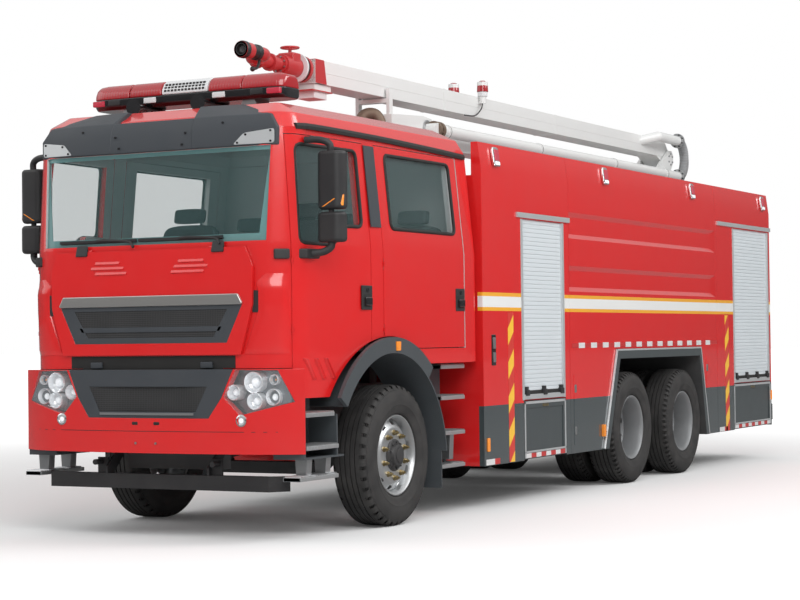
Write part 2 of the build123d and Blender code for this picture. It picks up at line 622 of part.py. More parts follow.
visor_levels = ((SCREEN_HIGH - 25, 1000.0, -1492.0), (GUTTER_Z, 1010.0, -1492.0),
                (GUTTER_Z + 100, 940.0, -1450.0), (ROOF_TOP + 6, 640.0, -1320.0))
visor_faces = []
for level_z, level_half, level_nose in visor_levels:
    swept = 110.0
    visor_faces.append(make_face(Polyline((-level_half, level_nose + swept, level_z),
                                          (-level_half + 240, level_nose, level_z),
                                          (level_half - 240, level_nose, level_z),
                                          (level_half, level_nose + swept, level_z),
                                          (level_half, -1150, level_z), (-level_half, -1150, level_z),
                                          close=True)))
visor = loft(visor_faces, ruled=True) - cab_outer - roof_outer
visor -= block(-far, far, -1330, far, 0, GUTTER_Z)
visor -= screen_hole
visor -= block(-345, 345, -far, far, ROOF_TOP - 106, far * 2)
visor = Part() + [max(visor.solids(), key=lambda s: s.volume)]
save("visor", visor)

LIGHT_Y = -915.0
LIGHT_HALF = 833.0
LIGHT_LOW = ROOF_TOP + 65.0
LIGHT_MID = LIGHT_LOW + 80.0
LIGHT_TOP = LIGHT_LOW + 185.0
light_bar = side_prism([(LIGHT_Y - 150, LIGHT_LOW + 20), (LIGHT_Y - 120, LIGHT_LOW),
                        (LIGHT_Y + 120, LIGHT_LOW), (LIGHT_Y + 150, LIGHT_LOW + 20),
                        (LIGHT_Y + 150, LIGHT_MID + 40), (LIGHT_Y + 90, LIGHT_TOP),
                        (LIGHT_Y - 90, LIGHT_TOP), (LIGHT_Y - 150, LIGHT_MID + 40)],
                       -LIGHT_HALF, LIGHT_HALF)
for foot_x in (-520, 520):
    light_bar += block(foot_x - 60, foot_x + 60, LIGHT_Y - 70, LIGHT_Y + 70, ROOF_TOP, LIGHT_LOW + 5)
save("light_bar", light_bar)

# Front flap with its grille

flap_outline = [(-800, FLAP_TOP), (800, FLAP_TOP), (860, 1900), (855, 1640), (757, FLAP_BOT),
                (-757, FLAP_BOT), (-855, 1640), (-860, 1900)]
grille_outline = [(-779, 1650), (-749, 1700), (749, 1700), (779, 1650), (646, 1378), (-646, 1378)]
flap_band = cab_solid(-FLAP_GAP - FLAP_T, SILL_Z, GUTTER_Z) - cab_solid(-FLAP_GAP, SILL_Z - 1, GUTTER_Z + 1)
flap_blank = flap_band & front_prism(flap_outline, -far, -1000)
flap = flap_blank - front_prism(grille_outline, -far, -1000)
flap_front_y = CAB_LEVELS["belt"][3] - FLAP_GAP - FLAP_T
HINGE_R = FLAP_GAP + 4 - SEAT_GAP
for hinge_x in (-560, 560):
    flap += rod_x(hinge_x - 60, hinge_x + 60, flap_front_y + FLAP_T - 4, FLAP_TOP + 4, HINGE_R)
flap -= cab_outer
save("front_flap", flap)
grille_bars = flap_blank & front_prism(grille_outline, -far, -1000)
frame_in = [(-690, 1610), (690, 1610), (560, 1420), (-560, 1420)]
grille_bars -= front_prism(frame_in, -far, -1000)
for row_z in (1455, 1495, 1535, 1575):
    grille_bars += block(-700, 700, flap_front_y + 6, flap_front_y + FLAP_T, row_z - 7,
                         row_z + 7) & front_prism(grille_outline, -far, -1000)
grille_bars += rod_x(-745, 745, flap_front_y + 2, 1682, 14) & front_prism(grille_outline, -far, -1000)
save("upper_grille", grille_bars)

# Bumper, lower grille and headlamps

def bumper_plan(inset, z):
    """Plan of the bumper's front, crowned and swept back at the ends."""
    s = BUMPER_SIDE - inset
    crown = ThreePointArc((700 - inset * 0.2, NOSE_Y + 45 + inset, z), (0, NOSE_Y + inset, z),
                          (-700 + inset * 0.2, NOSE_Y + 45 + inset, z))
    corner_l = ThreePointArc((s, BUMPER_END, z), (1000 - inset * 0.5, NOSE_Y + 105 + inset, z),
                             (700 - inset * 0.2, NOSE_Y + 45 + inset, z))
    corner_r = ThreePointArc((-700 + inset * 0.2, NOSE_Y + 45 + inset, z),
                             (-1000 + inset * 0.5, NOSE_Y + 105 + inset, z), (-s, BUMPER_END, z))
    back = Polyline((-s, BUMPER_END, z), (-s, BUMPER_END + 5, z), (s, BUMPER_END + 5, z),
                    (s, BUMPER_END, z))
    return make_face(Curve() + [corner_l, crown, corner_r, back])


bumper_full = extrude(bumper_plan(0, BUMPER_BOT), amount=BUMPER_TOP - BUMPER_BOT, dir=(0, 0, 1))
bumper_core = extrude(bumper_plan(BUMPER_WALL, BUMPER_BOT - 1), amount=BUMPER_TOP - BUMPER_BOT + 2,
                      dir=(0, 0, 1))
bumper_skin = bumper_full - bumper_core - block(-far, far, BUMPER_END, far, 0, far)
lamp_outline = [(626, 1004), (719, 1191), (1022, 1186), (1128, 970), (751, 877)]
lamp_hole = front_prism(lamp_outline, -far, BUMPER_END)
lower_grille_outline = [(-700, BUMPER_TOP), (700, BUMPER_TOP), (612, 1000), (510, 856), (-510, 856),
                        (-612, 1000)]
lower_grille_hole = front_prism(lower_grille_outline, -far, BUMPER_END)
bumper = bumper_skin - lamp_hole - to_right(lamp_hole) - lower_grille_hole
save("bumper", bumper)
lamps = bumper_skin & lamp_hole
save("headlamps", Part() + [lamps, to_right(lamps)])
lower_grille = bumper_skin & lower_grille_hole
grille_slot = front_prism([(-500, 1075), (500, 1075), (410, 900), (-410, 900)], -far, BUMPER_END)
lower_grille -= grille_slot
for row_z in (935, 975, 1015, 1050):
    lower_grille += block(-520, 520, NOSE_Y + 30, NOSE_Y + 46, row_z - 8, row_z + 8) & grille_slot
save("lower_grille", lower_grille)

# Wings with wheel-arch liner, flare, mudguard and steps

def arch_band(r0, r1, a0, a1, x0, x1):
    """Part of a ring about the wheel arch's centre, between two angles from the rear."""
    c = (ARCH_Y, ARCH_Z)
    def at(r, a):
        return (x0, c[0] + r * math.cos(math.radians(a)), c[1] + r * math.sin(math.radians(a)))
    am = (a0 + a1) / 2
    outer = ThreePointArc(at(r1, a0), at(r1, am), at(r1, a1))
    inner = ThreePointArc(at(r0, a1), at(r0, am), at(r0, a0))
    edges = [outer, Line(outer @ 1, inner @ 0), inner, Line(inner @ 1, outer @ 0)]
    return extrude(make_face(Curve() + edges), amount=x1 - x0, dir=(1, 0, 0))


wing = arch_band(ARCH_IN_R, ARCH_IN_R + LINER_T, 5, 146, LINER_X, WING_X)
wing += arch_band(ARCH_IN_R, ARCH_OUT_R, 49, 146, WING_X - 30, WING_X)
guard_y = ARCH_Y + ARCH_IN_R + LINER_T - 16
wing += block(900, 1200, guard_y, guard_y + 12, 235, ARCH_Z + 100)
wing += block(RAIL_OUT, LINER_X + 30, 505, 565, 900, 960)
STEP_X = 1180.0
STEP_BACK = 950.0
# front step: z of the tread's top, y at its rear end
FRONT_STEPS = ((885, -990), (658, -935))
front_steps = block(STEP_BACK - 20, STEP_BACK, STEP_FRONT_Y, -930, 570, 985)
front_steps += block(STEP_BACK - 20, STEP_X, STEP_FRONT_Y, -850, 570, 584)
front_steps += block(STEP_BACK - 20, STEP_X, STEP_FRONT_Y, STEP_FRONT_Y + 15, 570, 900)
front_steps += block(STEP_BACK - 20, STEP_X, -950, -935, 570, 870)
for tread_z, tread_y in FRONT_STEPS:
    front_steps += block(STEP_BACK - 20, STEP_X, STEP_FRONT_Y, tread_y, tread_z - 24, tread_z)
front_steps += block(1040, 1170, -1440, -919, 425, 450)
for post_y in (-1280, -1020):
    front_steps += rod_z(1105, post_y, 445, 575, 16)
front_steps += block(RAIL_OUT, STEP_BACK, -1050, -990, 800, 860)
# rear step: z of the tread's top
REAR_STEPS = (1178, 935, 660)
rear_steps = block(STEP_BACK - 20, STEP_BACK, 700, 1112, 636, 1178)
for tread_z in REAR_STEPS:
    rear_steps += block(STEP_BACK - 20, 1165, 700, 1112, tread_z - 24, tread_z)
rear_steps += block(1000, 1165, 708, 1112, 380, 404)
rear_steps += rod_z(1085, 910, 400, 640, 16)
rear_steps += block(RAIL_OUT, STEP_BACK, 870, 930, 880, 940)
wing_left = Part() + [wing, front_steps, rear_steps]
save("wing_left", wing_left)
save("wing_right", to_right(wing_left))

# Mirrors, carried by the front doors

MIRROR_TOP = GUTTER_Z - 165.0
MIRROR_MID = MIRROR_TOP - 415.0
mirror_left = block(1180, 1400, -1230, -1120, MIRROR_MID + 10, MIRROR_TOP)
mirror_left += block(1180, 1400, -1235, -1130, MIRROR_MID - 218, MIRROR_MID - 10)
mirror_left += block(1275, 1305, -1195, -1150, MIRROR_MID - 18, MIRROR_MID + 18)
mirror_left = fillet(mirror_left.edges().filter_by(Axis.Y), 9)
mirror_left += bar((1290, -1180, MIRROR_MID - 200), (1290, -1180, MIRROR_MID - 270), 16)
mirror_left += bar((1290, -1180, MIRROR_MID - 270), (1150, -1235, MIRROR_MID - 285), 20)
mirror_left += bar((1290, -1180, MIRROR_TOP - 5), (1290, -1180, MIRROR_TOP + 65), 16)
mirror_left += bar((1290, -1180, MIRROR_TOP + 65), (1100, -1225, MIRROR_TOP + 80), 20)
mirror_left -= cab_outer
save("mirror_left", mirror_left)
save("mirror_right", to_right(mirror_left))

# Body modules

def body_section(y):
    """Cross section of the body with its parapets and the tunnel over the frame."""
    pts = [
        (TUNNEL_HALF, BODY_BOT), (BODY_HALF, BODY_BOT), (BODY_HALF, BODY_CREASE), (BODY_TOP_HALF, BODY_TOP),
        (BODY_TOP_HALF - PARAPET_T, BODY_TOP), (BODY_TOP_HALF - PARAPET_T, DECK_Z),
    ]
    loop = pts + [(-x, z) for x, z in reversed(pts)] + [(-TUNNEL_HALF, RAIL_TOP), (TUNNEL_HALF, RAIL_TOP)]
    return make_face(Polyline(*[(x, y, z) for x, z in loop], close=True))


def body_module(y0, y1):
    """A length of body between two stations."""
    return extrude(body_section(y0), amount=y1 - y0, dir=(0, 1, 0))


# locker: y front, y rear, z low and z high of the shutter opening; y front and y rear of the step flap
LOCKERS = {
    "front": (2042.0, SEAM_FRONT - 114, 864.0, BODY_CREASE - 370, 2076.0, SEAM_FRONT - 108),
    "rear": (SEAM_REAR + 543, BODY_REAR - 60, 864.0, BODY_CREASE - 213, SEAM_REAR + 538, BODY_REAR - 34),
}
FLAP_PIN_X = BODY_HALF - FLAP_STEP_T / 2
FLAP_PIN_Z = FLAP_LOW + FLAP_STEP_T / 2
FLAP_PIN_L = 14.0


def cut_locker(module, key):
    """Cuts the shutter recess and the step pocket on both sides."""
    y0, y1, z0, z1, fy0, fy1 = LOCKERS[key]
    cuts = block(BODY_HALF - SHUTTER_DEPTH, BODY_HALF + 10, y0, y1, z0, z1)
    cuts += block(BODY_HALF - POCKET_DEPTH, BODY_HALF - FLAP_STEP_T - 18, fy0, fy1, BODY_BOT + 40,
                  FLAP_HIGH)
    cuts += block(BODY_HALF - FLAP_STEP_T - 20, BODY_HALF + 10, fy0 - RUN_GAP, fy1 + RUN_GAP,
                  BODY_BOT - 5, FLAP_HIGH + RUN_GAP)
    cuts += rod_y(FLAP_PIN_X, fy0 - FLAP_PIN_L - 2, fy1 + FLAP_PIN_L + 2, FLAP_PIN_Z, FLAP_PIN_R + SEAT_GAP)
    return module - cuts - to_right(cuts)


def step_flap(key):
    """A drop-down step flap with a pivot pin at each end, left side."""
    y0, y1, z0, z1, fy0, fy1 = LOCKERS[key]
    flap_solid = block(BODY_HALF - FLAP_STEP_T, BODY_HALF, fy0, fy1, FLAP_LOW, FLAP_HIGH)
    panel = block(BODY_HALF - 8, BODY_HALF + 1, fy0 + 60, fy1 - 60, FLAP_LOW + 60, FLAP_HIGH - 60)
    return flap_solid - panel + rod_y(FLAP_PIN_X, fy0 - FLAP_PIN_L, fy1 + FLAP_PIN_L, FLAP_PIN_Z,
                                      FLAP_PIN_R)


def shutter(key):
    """A slatted roller shutter with its lift bar, left side."""
    y0, y1, z0, z1, fy0, fy1 = LOCKERS[key]
    x0 = BODY_HALF - SHUTTER_DEPTH
    curtain = block(x0, x0 + SHUTTER_T - 5, y0, y1, z0 + 100, z1)
    count = int((z1 - z0 - 100) // SLAT_PITCH)
    for i in range(count):
        low = z0 + 100 + i * SLAT_PITCH
        curtain += block(x0, x0 + SHUTTER_T, y0, y1, low + 4, low + SLAT_PITCH - 4)
    curtain += block(x0, BODY_HALF - 4, y0, y1, z0, z0 + 101)
    return curtain


DRIP_OUT = 16.0
DRIP_H = 42.0
body_front = cut_locker(body_module(BODY_FRONT, SEAM_FRONT - SEAM_GAP / 2), "front")
body_front += rod_z(0, SLEW_Y, DECK_Z - 1, SLEW_BASE_TOP, SLEW_R + 20)
for side in (1, -1):
    body_front += block(side * (BODY_HALF - 1), side * (BODY_HALF + DRIP_OUT), 1955,
                        SEAM_FRONT - SEAM_GAP / 2,
                        LOCKERS["front"][3] + 10, LOCKERS["front"][3] + 10 + DRIP_H)
save("body_front", body_front)

body_mid = body_module(SEAM_FRONT + SEAM_GAP / 2, SEAM_REAR - SEAM_GAP / 2)
arch_in = [
    (WHEELBASE - 700, BODY_BOT - 10), (WHEELBASE - 390, ARCH_TOP),
    (REAR_AXLE_Y + 410, ARCH_TOP), (REAR_AXLE_Y + 592, BODY_BOT - 10),
]
arch_out = [
    (WHEELBASE - 800, BODY_BOT), (WHEELBASE - 460, ARCH_TOP + 90),
    (REAR_AXLE_Y + 460, ARCH_TOP + 90), (REAR_AXLE_Y + 690, BODY_BOT),
]
for side in (1, -1):
    body_mid += side_prism(arch_out, side * (BODY_HALF - 1), side * (BODY_HALF + 18))
body_mid -= side_prism(arch_in, -far, far)
# pressed recess: z low, z high, depth
RECESSES = ((BODY_CREASE - 962, BODY_CREASE - 736, 28.0), (BODY_CREASE - 494, BODY_CREASE - 263, 28.0))
recess_y0 = SEAM_FRONT + SEAM_GAP / 2 + 0.5
recess_y1 = SEAM_REAR - 34
for low_z, high_z, depth in RECESSES:
    for side in (1, -1):
        mouth_x = side * BODY_HALF
        floor_x = side * (BODY_HALF - depth)
        mouth = [(recess_y0, low_z), (recess_y1, low_z), (recess_y1, high_z), (recess_y0, high_z)]
        floor = [
            (recess_y0, low_z + 40), (recess_y1 - 85, low_z + 40),
            (recess_y1 - 85, high_z - 40), (recess_y0, high_z - 40),
        ]
        mouth_face = make_face(Polyline(*[(mouth_x, y, z) for y, z in mouth], close=True))
        floor_face = make_face(Polyline(*[(floor_x, y, z) for y, z in floor], close=True))
        body_mid -= loft([mouth_face, floor_face], ruled=True)
save("body_mid", body_mid)

body_rear = cut_locker(body_module(SEAM_REAR + SEAM_GAP / 2, BODY_REAR), "rear")
for side in (1, -1):
    body_rear += block(side * (BODY_HALF - 1), side * (BODY_HALF + DRIP_OUT), SEAM_REAR + 38, BODY_REAR,
                       LOCKERS["rear"][3] + 13, LOCKERS["rear"][3] + 13 + DRIP_H)
REAR_SHUTTER_TOP = BODY_CREASE - 250.0
body_rear -= block(-700, 700, BODY_REAR - SHUTTER_DEPTH, BODY_REAR + 10, 1100, REAR_SHUTTER_TOP)
body_rear += block(-BODY_HALF, BODY_HALF, BODY_REAR - 1, REAR_BUMPER_Y, 420, 600)
save("body_rear", body_rear)

shutters = Part()
for key in LOCKERS:
    one = shutter(key)
    shutters += [one, to_right(one)]
rear_curtain = block(-700, 700, BODY_REAR - SHUTTER_DEPTH, BODY_REAR - SHUTTER_DEPTH + SHUTTER_T, 1100,
                     REAR_SHUTTER_TOP)
shutters += rear_curtain
save("shutters", shutters)

for key in LOCKERS:
    one = step_flap(key)
    save(f"step_flap_{key}_left", one)
    save(f"step_flap_{key}_right", to_right(one))

lean = math.degrees(math.atan2(BODY_HALF - BODY_TOP_HALF, BODY_TOP - BODY_CREASE))
lamp_z = BODY_CREASE + PARAPET_RISE / 2
lamp_x = BODY_HALF - (lamp_z - BODY_CREASE) * math.tan(math.radians(lean))
body_lamps = Part()
for lamp_y in (BODY_FRONT + 269, SEAM_FRONT + 864, SEAM_REAR - 723, BODY_REAR - 255):
    lamp = Pos(lamp_x, lamp_y, lamp_z) * Rot(0, -lean, 0) * Pos(14, 0, 0) * Box(28, 110, 160)
    lamp = fillet(lamp.edges().filter_by(lambda e: abs(e.length - 28) < 0.1), 30)
    body_lamps += [lamp, to_right(lamp)]
save("body_lamps", body_lamps)

# Turntable with boom cradle

table_bot = SLEW_BASE_TOP + SEAT_GAP
turntable = rod_z(0, SLEW_Y, table_bot, table_bot + TABLE_T, SLEW_R)
table_top = table_bot + TABLE_T
cheek_outline = [(1770, table_top - 1), (2640, table_top - 1), (2600, LUFF_Z - 110),
                 (2520, LUFF_Z + 90), (2360, LUFF_Z + 105), (1770, LUFF_Z + 70)]
for side in (1, -1):
    turntable += side_prism(cheek_outline, side * CHEEK_IN, side * (CHEEK_IN + CHEEK_T))
turntable -= rod_x(-far, far, LUFF_Y, LUFF_Z, LUFF_PIN_R + PIN_GAP)
turntable += block(-CHEEK_IN - 1, CHEEK_IN + 1, 1770, 1810, table_top - 1, LUFF_Z + 70)
CRADLE_Y = 1780.0
for side in (1, -1):
    turntable += block(side * (UP_BOOM_HALF + 15), side * (UP_BOOM_HALF + 45), CRADLE_Y, CRADLE_Y + 60,
                       LUFF_Z + 50, UP_BOOM_BOT + 75)
turntable += block(-UP_BOOM_HALF - 20, UP_BOOM_HALF + 20, CRADLE_Y, CRADLE_Y + 60, UP_BOOM_BOT - 45,
                   UP_BOOM_BOT - 8)
LIFT_BASE_Y = 2650.0
LIFT_BASE_Z = SLEW_BASE_TOP + 125.0
for side in (1, -1):
    turntable += side_prism([(LIFT_BASE_Y - 60, table_top - 1), (LIFT_BASE_Y + 40, table_top - 1),
                             (LIFT_BASE_Y + 40, LIFT_BASE_Z + 40),
                             (LIFT_BASE_Y - 40, LIFT_BASE_Z + 40)], side * 62, side * 82)
turntable -= rod_x(-90, 90, LIFT_BASE_Y, LIFT_BASE_Z, 25 + PIN_GAP)
save("turntable", turntable)

# Lift cylinder

LIFT_EYE_Y = 3300.0
LIFT_EYE_Z = LUFF_Z - 190.0
axis_len = math.hypot(LIFT_EYE_Y - LIFT_BASE_Y, LIFT_EYE_Z - LIFT_BASE_Z)
lift_plane = Plane(origin=(0, LIFT_BASE_Y, LIFT_BASE_Z), x_dir=(1, 0, 0),
                   z_dir=(0, LIFT_EYE_Y - LIFT_BASE_Y, LIFT_EYE_Z - LIFT_BASE_Z))
lift_barrel = lift_plane * Pos(0, 0, 280) * Cylinder(46, 520)
lift_barrel += rod_x(-60, 60, LIFT_BASE_Y, LIFT_BASE_Z, 44)
lift_barrel += rod_x(-84, 84, LIFT_BASE_Y, LIFT_BASE_Z, 25)
lift_barrel -= lift_plane * Pos(0, 0, 330) * Cylinder(28 + PIN_GAP, 500)
lift_rod = lift_plane * Pos(0, 0, (axis_len + 90) / 2) * Cylinder(28, axis_len - 90)
lift_rod += rod_x(-30, 30, LIFT_EYE_Y, LIFT_EYE_Z, 44)
lift_rod -= rod_x(-40, 40, LIFT_EYE_Y, LIFT_EYE_Z, 25)
save("lift_barrel", lift_barrel)
save("lift_rod", lift_rod)

# Lower boom with its water pipe

boom_root = 2560.0
boom_end = ELBOW_Y - 150.0
low_boom = block(-LOW_BOOM_HALF, LOW_BOOM_HALF, boom_root, boom_end, LOW_BOOM_BOT, LOW_BOOM_TOP)
low_boom += rod_x(-LOW_BOOM_HALF, LOW_BOOM_HALF, LUFF_Y, LUFF_Z, 95)
low_boom += side_prism([(LUFF_Y, LUFF_Z - 95), (boom_root + 2, LOW_BOOM_BOT),
                        (boom_root + 2, LOW_BOOM_TOP), (LUFF_Y, LUFF_Z + 80)],
                       -LOW_BOOM_HALF, LOW_BOOM_HALF)
low_boom += rod_x(-CHEEK_IN - CHEEK_T, CHEEK_IN + CHEEK_T, LUFF_Y, LUFF_Z, LUFF_PIN_R)
for side in (1, -1):
    low_boom += side_prism([(LIFT_EYE_Y - 90, LOW_BOOM_BOT + 1), (LIFT_EYE_Y + 90, LOW_BOOM_BOT + 1),
                            (LIFT_EYE_Y + 35, LIFT_EYE_Z - 45),
                            (LIFT_EYE_Y - 35, LIFT_EYE_Z - 45)], side * 34, side * 54)
ear_outline = [
    (ELBOW_Y - 400, LOW_BOOM_BOT + 30), (ELBOW_Y - 170, LOW_BOOM_BOT + 20), (ELBOW_Y + 90, ELBOW_Z - 40),
    (ELBOW_Y + 90, ELBOW_Z + 50), (ELBOW_Y + 40, ELBOW_Z + 95), (ELBOW_Y - 50, ELBOW_Z + 95),
    (ELBOW_Y - 400, LOW_BOOM_TOP - 20),
]
EAR_IN = 126.0
EAR_OUT = 156.0
for side in (1, -1):
    low_boom += side_prism(ear_outline, side * (LOW_BOOM_HALF - 1),
                           side * EAR_OUT) - block(side * (LOW_BOOM_HALF - 2), side * EAR_IN,
                                                   boom_end - 100, far * 5, 0, far * 3)
low_boom -= rod_x(-far, far, ELBOW_Y, ELBOW_Z, ELBOW_PIN_R + PIN_GAP)
low_pipe_z = ELBOW_Z - HOOP_R
low_pipe = rod_y(PIPE_X, LUFF_Y, ELBOW_Y - 10, low_pipe_z, PIPE_R)
low_pipe += rod_x(CHEEK_IN + CHEEK_T + SEAT_GAP, PIPE_X + PIPE_R, LUFF_Y, low_pipe_z, PIPE_R)
for ring_y in (2650, 4650, 6600, 8150):
    low_pipe += rod_y(PIPE_X, ring_y, ring_y + 40, low_pipe_z, PIPE_R + 8)
low_pipe += rod_y(PIPE_X, ELBOW_Y - 30, ELBOW_Y - SEAT_GAP, low_pipe_z, PIPE_R + 26)
for clip_y in (3600, 5600, 7600):
    low_pipe += block(LOW_BOOM_HALF - 1, PIPE_X, clip_y, clip_y + 60, low_pipe_z - 20, low_pipe_z + 20)
save("lower_boom", low_boom + low_pipe)

hoop = Pos(PIPE_X, ELBOW_Y, ELBOW_Z) * Rot(0, 90, 0) * Torus(HOOP_R, PIPE_R)
hoop = hoop & block(0, far, ELBOW_Y, far * 5, 0, far * 3)
save("elbow_hose", hoop)

# Upper boom with its water pipe and beacons

up_boom_end = ELBOW_Y - 90.0
up_boom = block(-UP_BOOM_HALF, UP_BOOM_HALF, UP_BOOM_HEAD, up_boom_end, UP_BOOM_BOT, UP_BOOM_TOP)
up_boom += rod_x(-LOW_BOOM_HALF, LOW_BOOM_HALF, ELBOW_Y, ELBOW_Z, 100)
heel_outline = [
    (ELBOW_Y - 350, UP_BOOM_BOT - 1), (up_boom_end, UP_BOOM_TOP), (ELBOW_Y + 50, ELBOW_Z + 85),
    (ELBOW_Y - 50, ELBOW_Z - 85),
]
up_boom += side_prism(heel_outline, -LOW_BOOM_HALF, LOW_BOOM_HALF)
up_boom += rod_x(-EAR_OUT, EAR_OUT, ELBOW_Y, ELBOW_Z, ELBOW_PIN_R)
up_pipe_z = ELBOW_Z + HOOP_R
pipe_bend_y = ELBOW_Y - 650
up_boom += rod_y(PIPE_X, pipe_bend_y, ELBOW_Y - SEAT_GAP, up_pipe_z, PIPE_R)
up_boom += rod_y(PIPE_X, ELBOW_Y - 30, ELBOW_Y - SEAT_GAP, up_pipe_z, PIPE_R + 26)
up_boom += Pos(PIPE_X, pipe_bend_y, up_pipe_z) * Sphere(PIPE_R)
up_boom += bar((PIPE_X, pipe_bend_y, up_pipe_z), (UP_BOOM_HALF - 60, pipe_bend_y - 220, up_pipe_z - 70),
               PIPE_R)
up_boom += block(-UP_BOOM_HALF + 20, UP_BOOM_HALF - 20, 640, 900, UP_BOOM_BOT - 60, UP_BOOM_BOT + 1)
for beacon_x in (-150, 150):
    inward = UP_BOOM_HALF - 10 if beacon_x > 0 else -UP_BOOM_HALF + 10
    up_boom += block(inward, beacon_x, 3620, 3680, UP_BOOM_TOP - 60, UP_BOOM_TOP - 40)
    up_boom += rod_z(beacon_x, 3650, UP_BOOM_TOP - 60, UP_BOOM_TOP + 50, 34)
    up_boom += rod_z(beacon_x, 3650, UP_BOOM_TOP + 49, UP_BOOM_TOP + 140, 50)
save("upper_boom", up_boom)

# Monitor

flange_y = UP_BOOM_HEAD - SEAT_GAP
monitor_base = rod_y(0, flange_y - 35, flange_y, MONITOR_Z, 105)
monitor_base += rod_y(0, 280, flange_y - 30, MONITOR_Z, 82)
BEND_R = 95.0
WATER_R = 50.0
TILT_Y = -200.0
monitor_base += rod_y(0, TILT_Y + BEND_R, 290, MONITOR_Z, WATER_R)
elbow_ring = Pos(BEND_R, TILT_Y + BEND_R, MONITOR_Z) * Torus(BEND_R, WATER_R)
monitor_base += elbow_ring & block(-far, BEND_R, -far, TILT_Y + BEND_R, 0, far * 3)
monitor_base += rod_z(0, 430, MONITOR_Z + 70, MONITOR_Z + 150, 14)
monitor_base += Pos(0, 430, MONITOR_Z + 150) * Torus(70, 8)
monitor_base += block(-70, 70, 426, 434, MONITOR_Z + 146, MONITOR_Z + 154)
SWIVEL_R = WATER_R + 14
monitor_base += rod_x(BEND_R - 22, BEND_R, TILT_Y, MONITOR_Z, SWIVEL_R)
save("monitor_base", monitor_base)
joint_x = BEND_R + SEAT_GAP
out_ring = Pos(joint_x, TILT_Y - BEND_R, MONITOR_Z) * Torus(BEND_R, WATER_R)
barrel = out_ring & block(joint_x, far, TILT_Y - BEND_R, far, 0, far * 3)
barrel += rod_x(joint_x, joint_x + 22, TILT_Y, MONITOR_Z, SWIVEL_R)
nozzle_x = joint_x + BEND_R
barrel += rod_y(nozzle_x, -480, TILT_Y - BEND_R, MONITOR_Z, WATER_R)
barrel += rod_y(nozzle_x, -590, -470, MONITOR_Z, 61)
barrel -= rod_y(nozzle_x, -600, -520, MONITOR_Z, 45)
save("monitor_barrel", barrel)
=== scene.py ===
"""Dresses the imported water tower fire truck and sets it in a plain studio.

Sizes are metres. Pieces are drawn from the front axle rearward, X to the truck's left and Z up,
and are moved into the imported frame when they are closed.
"""

import json
import logging
import math
from collections.abc import Iterable, Sequence
from dataclasses import dataclass
from enum import Enum
from functools import cache

import bmesh
import bpy
from mathutils import Matrix, Vector
from mathutils.bvhtree import BVHTree

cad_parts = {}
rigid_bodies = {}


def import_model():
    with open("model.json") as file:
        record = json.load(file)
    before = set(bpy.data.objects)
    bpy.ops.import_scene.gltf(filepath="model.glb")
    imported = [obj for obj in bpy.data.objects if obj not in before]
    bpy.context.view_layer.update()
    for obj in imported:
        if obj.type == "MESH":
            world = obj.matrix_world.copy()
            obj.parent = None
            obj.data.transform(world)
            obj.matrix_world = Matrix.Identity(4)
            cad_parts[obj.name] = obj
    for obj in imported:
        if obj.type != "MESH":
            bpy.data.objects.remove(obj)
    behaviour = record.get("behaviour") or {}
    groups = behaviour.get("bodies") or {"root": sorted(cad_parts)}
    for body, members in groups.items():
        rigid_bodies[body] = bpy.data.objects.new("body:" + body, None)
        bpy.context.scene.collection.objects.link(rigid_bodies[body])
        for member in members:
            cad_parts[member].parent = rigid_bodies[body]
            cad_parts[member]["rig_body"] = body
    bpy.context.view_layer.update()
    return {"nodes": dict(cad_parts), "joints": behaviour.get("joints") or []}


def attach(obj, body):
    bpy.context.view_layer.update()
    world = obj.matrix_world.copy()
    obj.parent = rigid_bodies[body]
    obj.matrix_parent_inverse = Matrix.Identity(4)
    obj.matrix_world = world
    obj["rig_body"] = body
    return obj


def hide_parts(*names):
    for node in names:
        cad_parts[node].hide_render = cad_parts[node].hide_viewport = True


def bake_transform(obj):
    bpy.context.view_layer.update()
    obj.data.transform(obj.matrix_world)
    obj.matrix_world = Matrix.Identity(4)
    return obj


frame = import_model()
LOG = logging.getLogger("water_tower")
AXLE = Vector((0.0, next(j["pos_m"][1] for j in frame["joints"] if j["name"] == "steer_left"), 0.0))
SHARP = math.radians(28.0)
FAR = 9.0
RAY_FRONT = -4.0
RAY_SIDE = 3.0
TOUCH = 1e-4
WELD = 2e-5
SEAM = 1e-6
COPLANAR = math.radians(0.4)
HULL_COPLANAR = math.radians(0.5)
CLOUD_SHARE = 0.4
COAT_ROUGHNESS = 0.04
BUMP_HEIGHT = 0.002

Point = Sequence[float]
Flat = tuple[float, float]
Colour = tuple[float, float, float]
Range = tuple[float, float]


class Axis(Enum):
    """The truck's axes: X to its left, Y to its rear, Z up."""

    X = 0
    Y = 1
    Z = 2

    @property
    def unit(self) -> Vector:
        """The axis as a vector."""
        return Vector([1.0 if i == self.value else 0.0 for i in range(3)])


class Side(Enum):
    """The two sides of the truck, by the sign of X."""

    LEFT = 1
    RIGHT = -1

    @property
    def word(self) -> str:
        """The side as it stands in node names."""
        return self.name.lower()


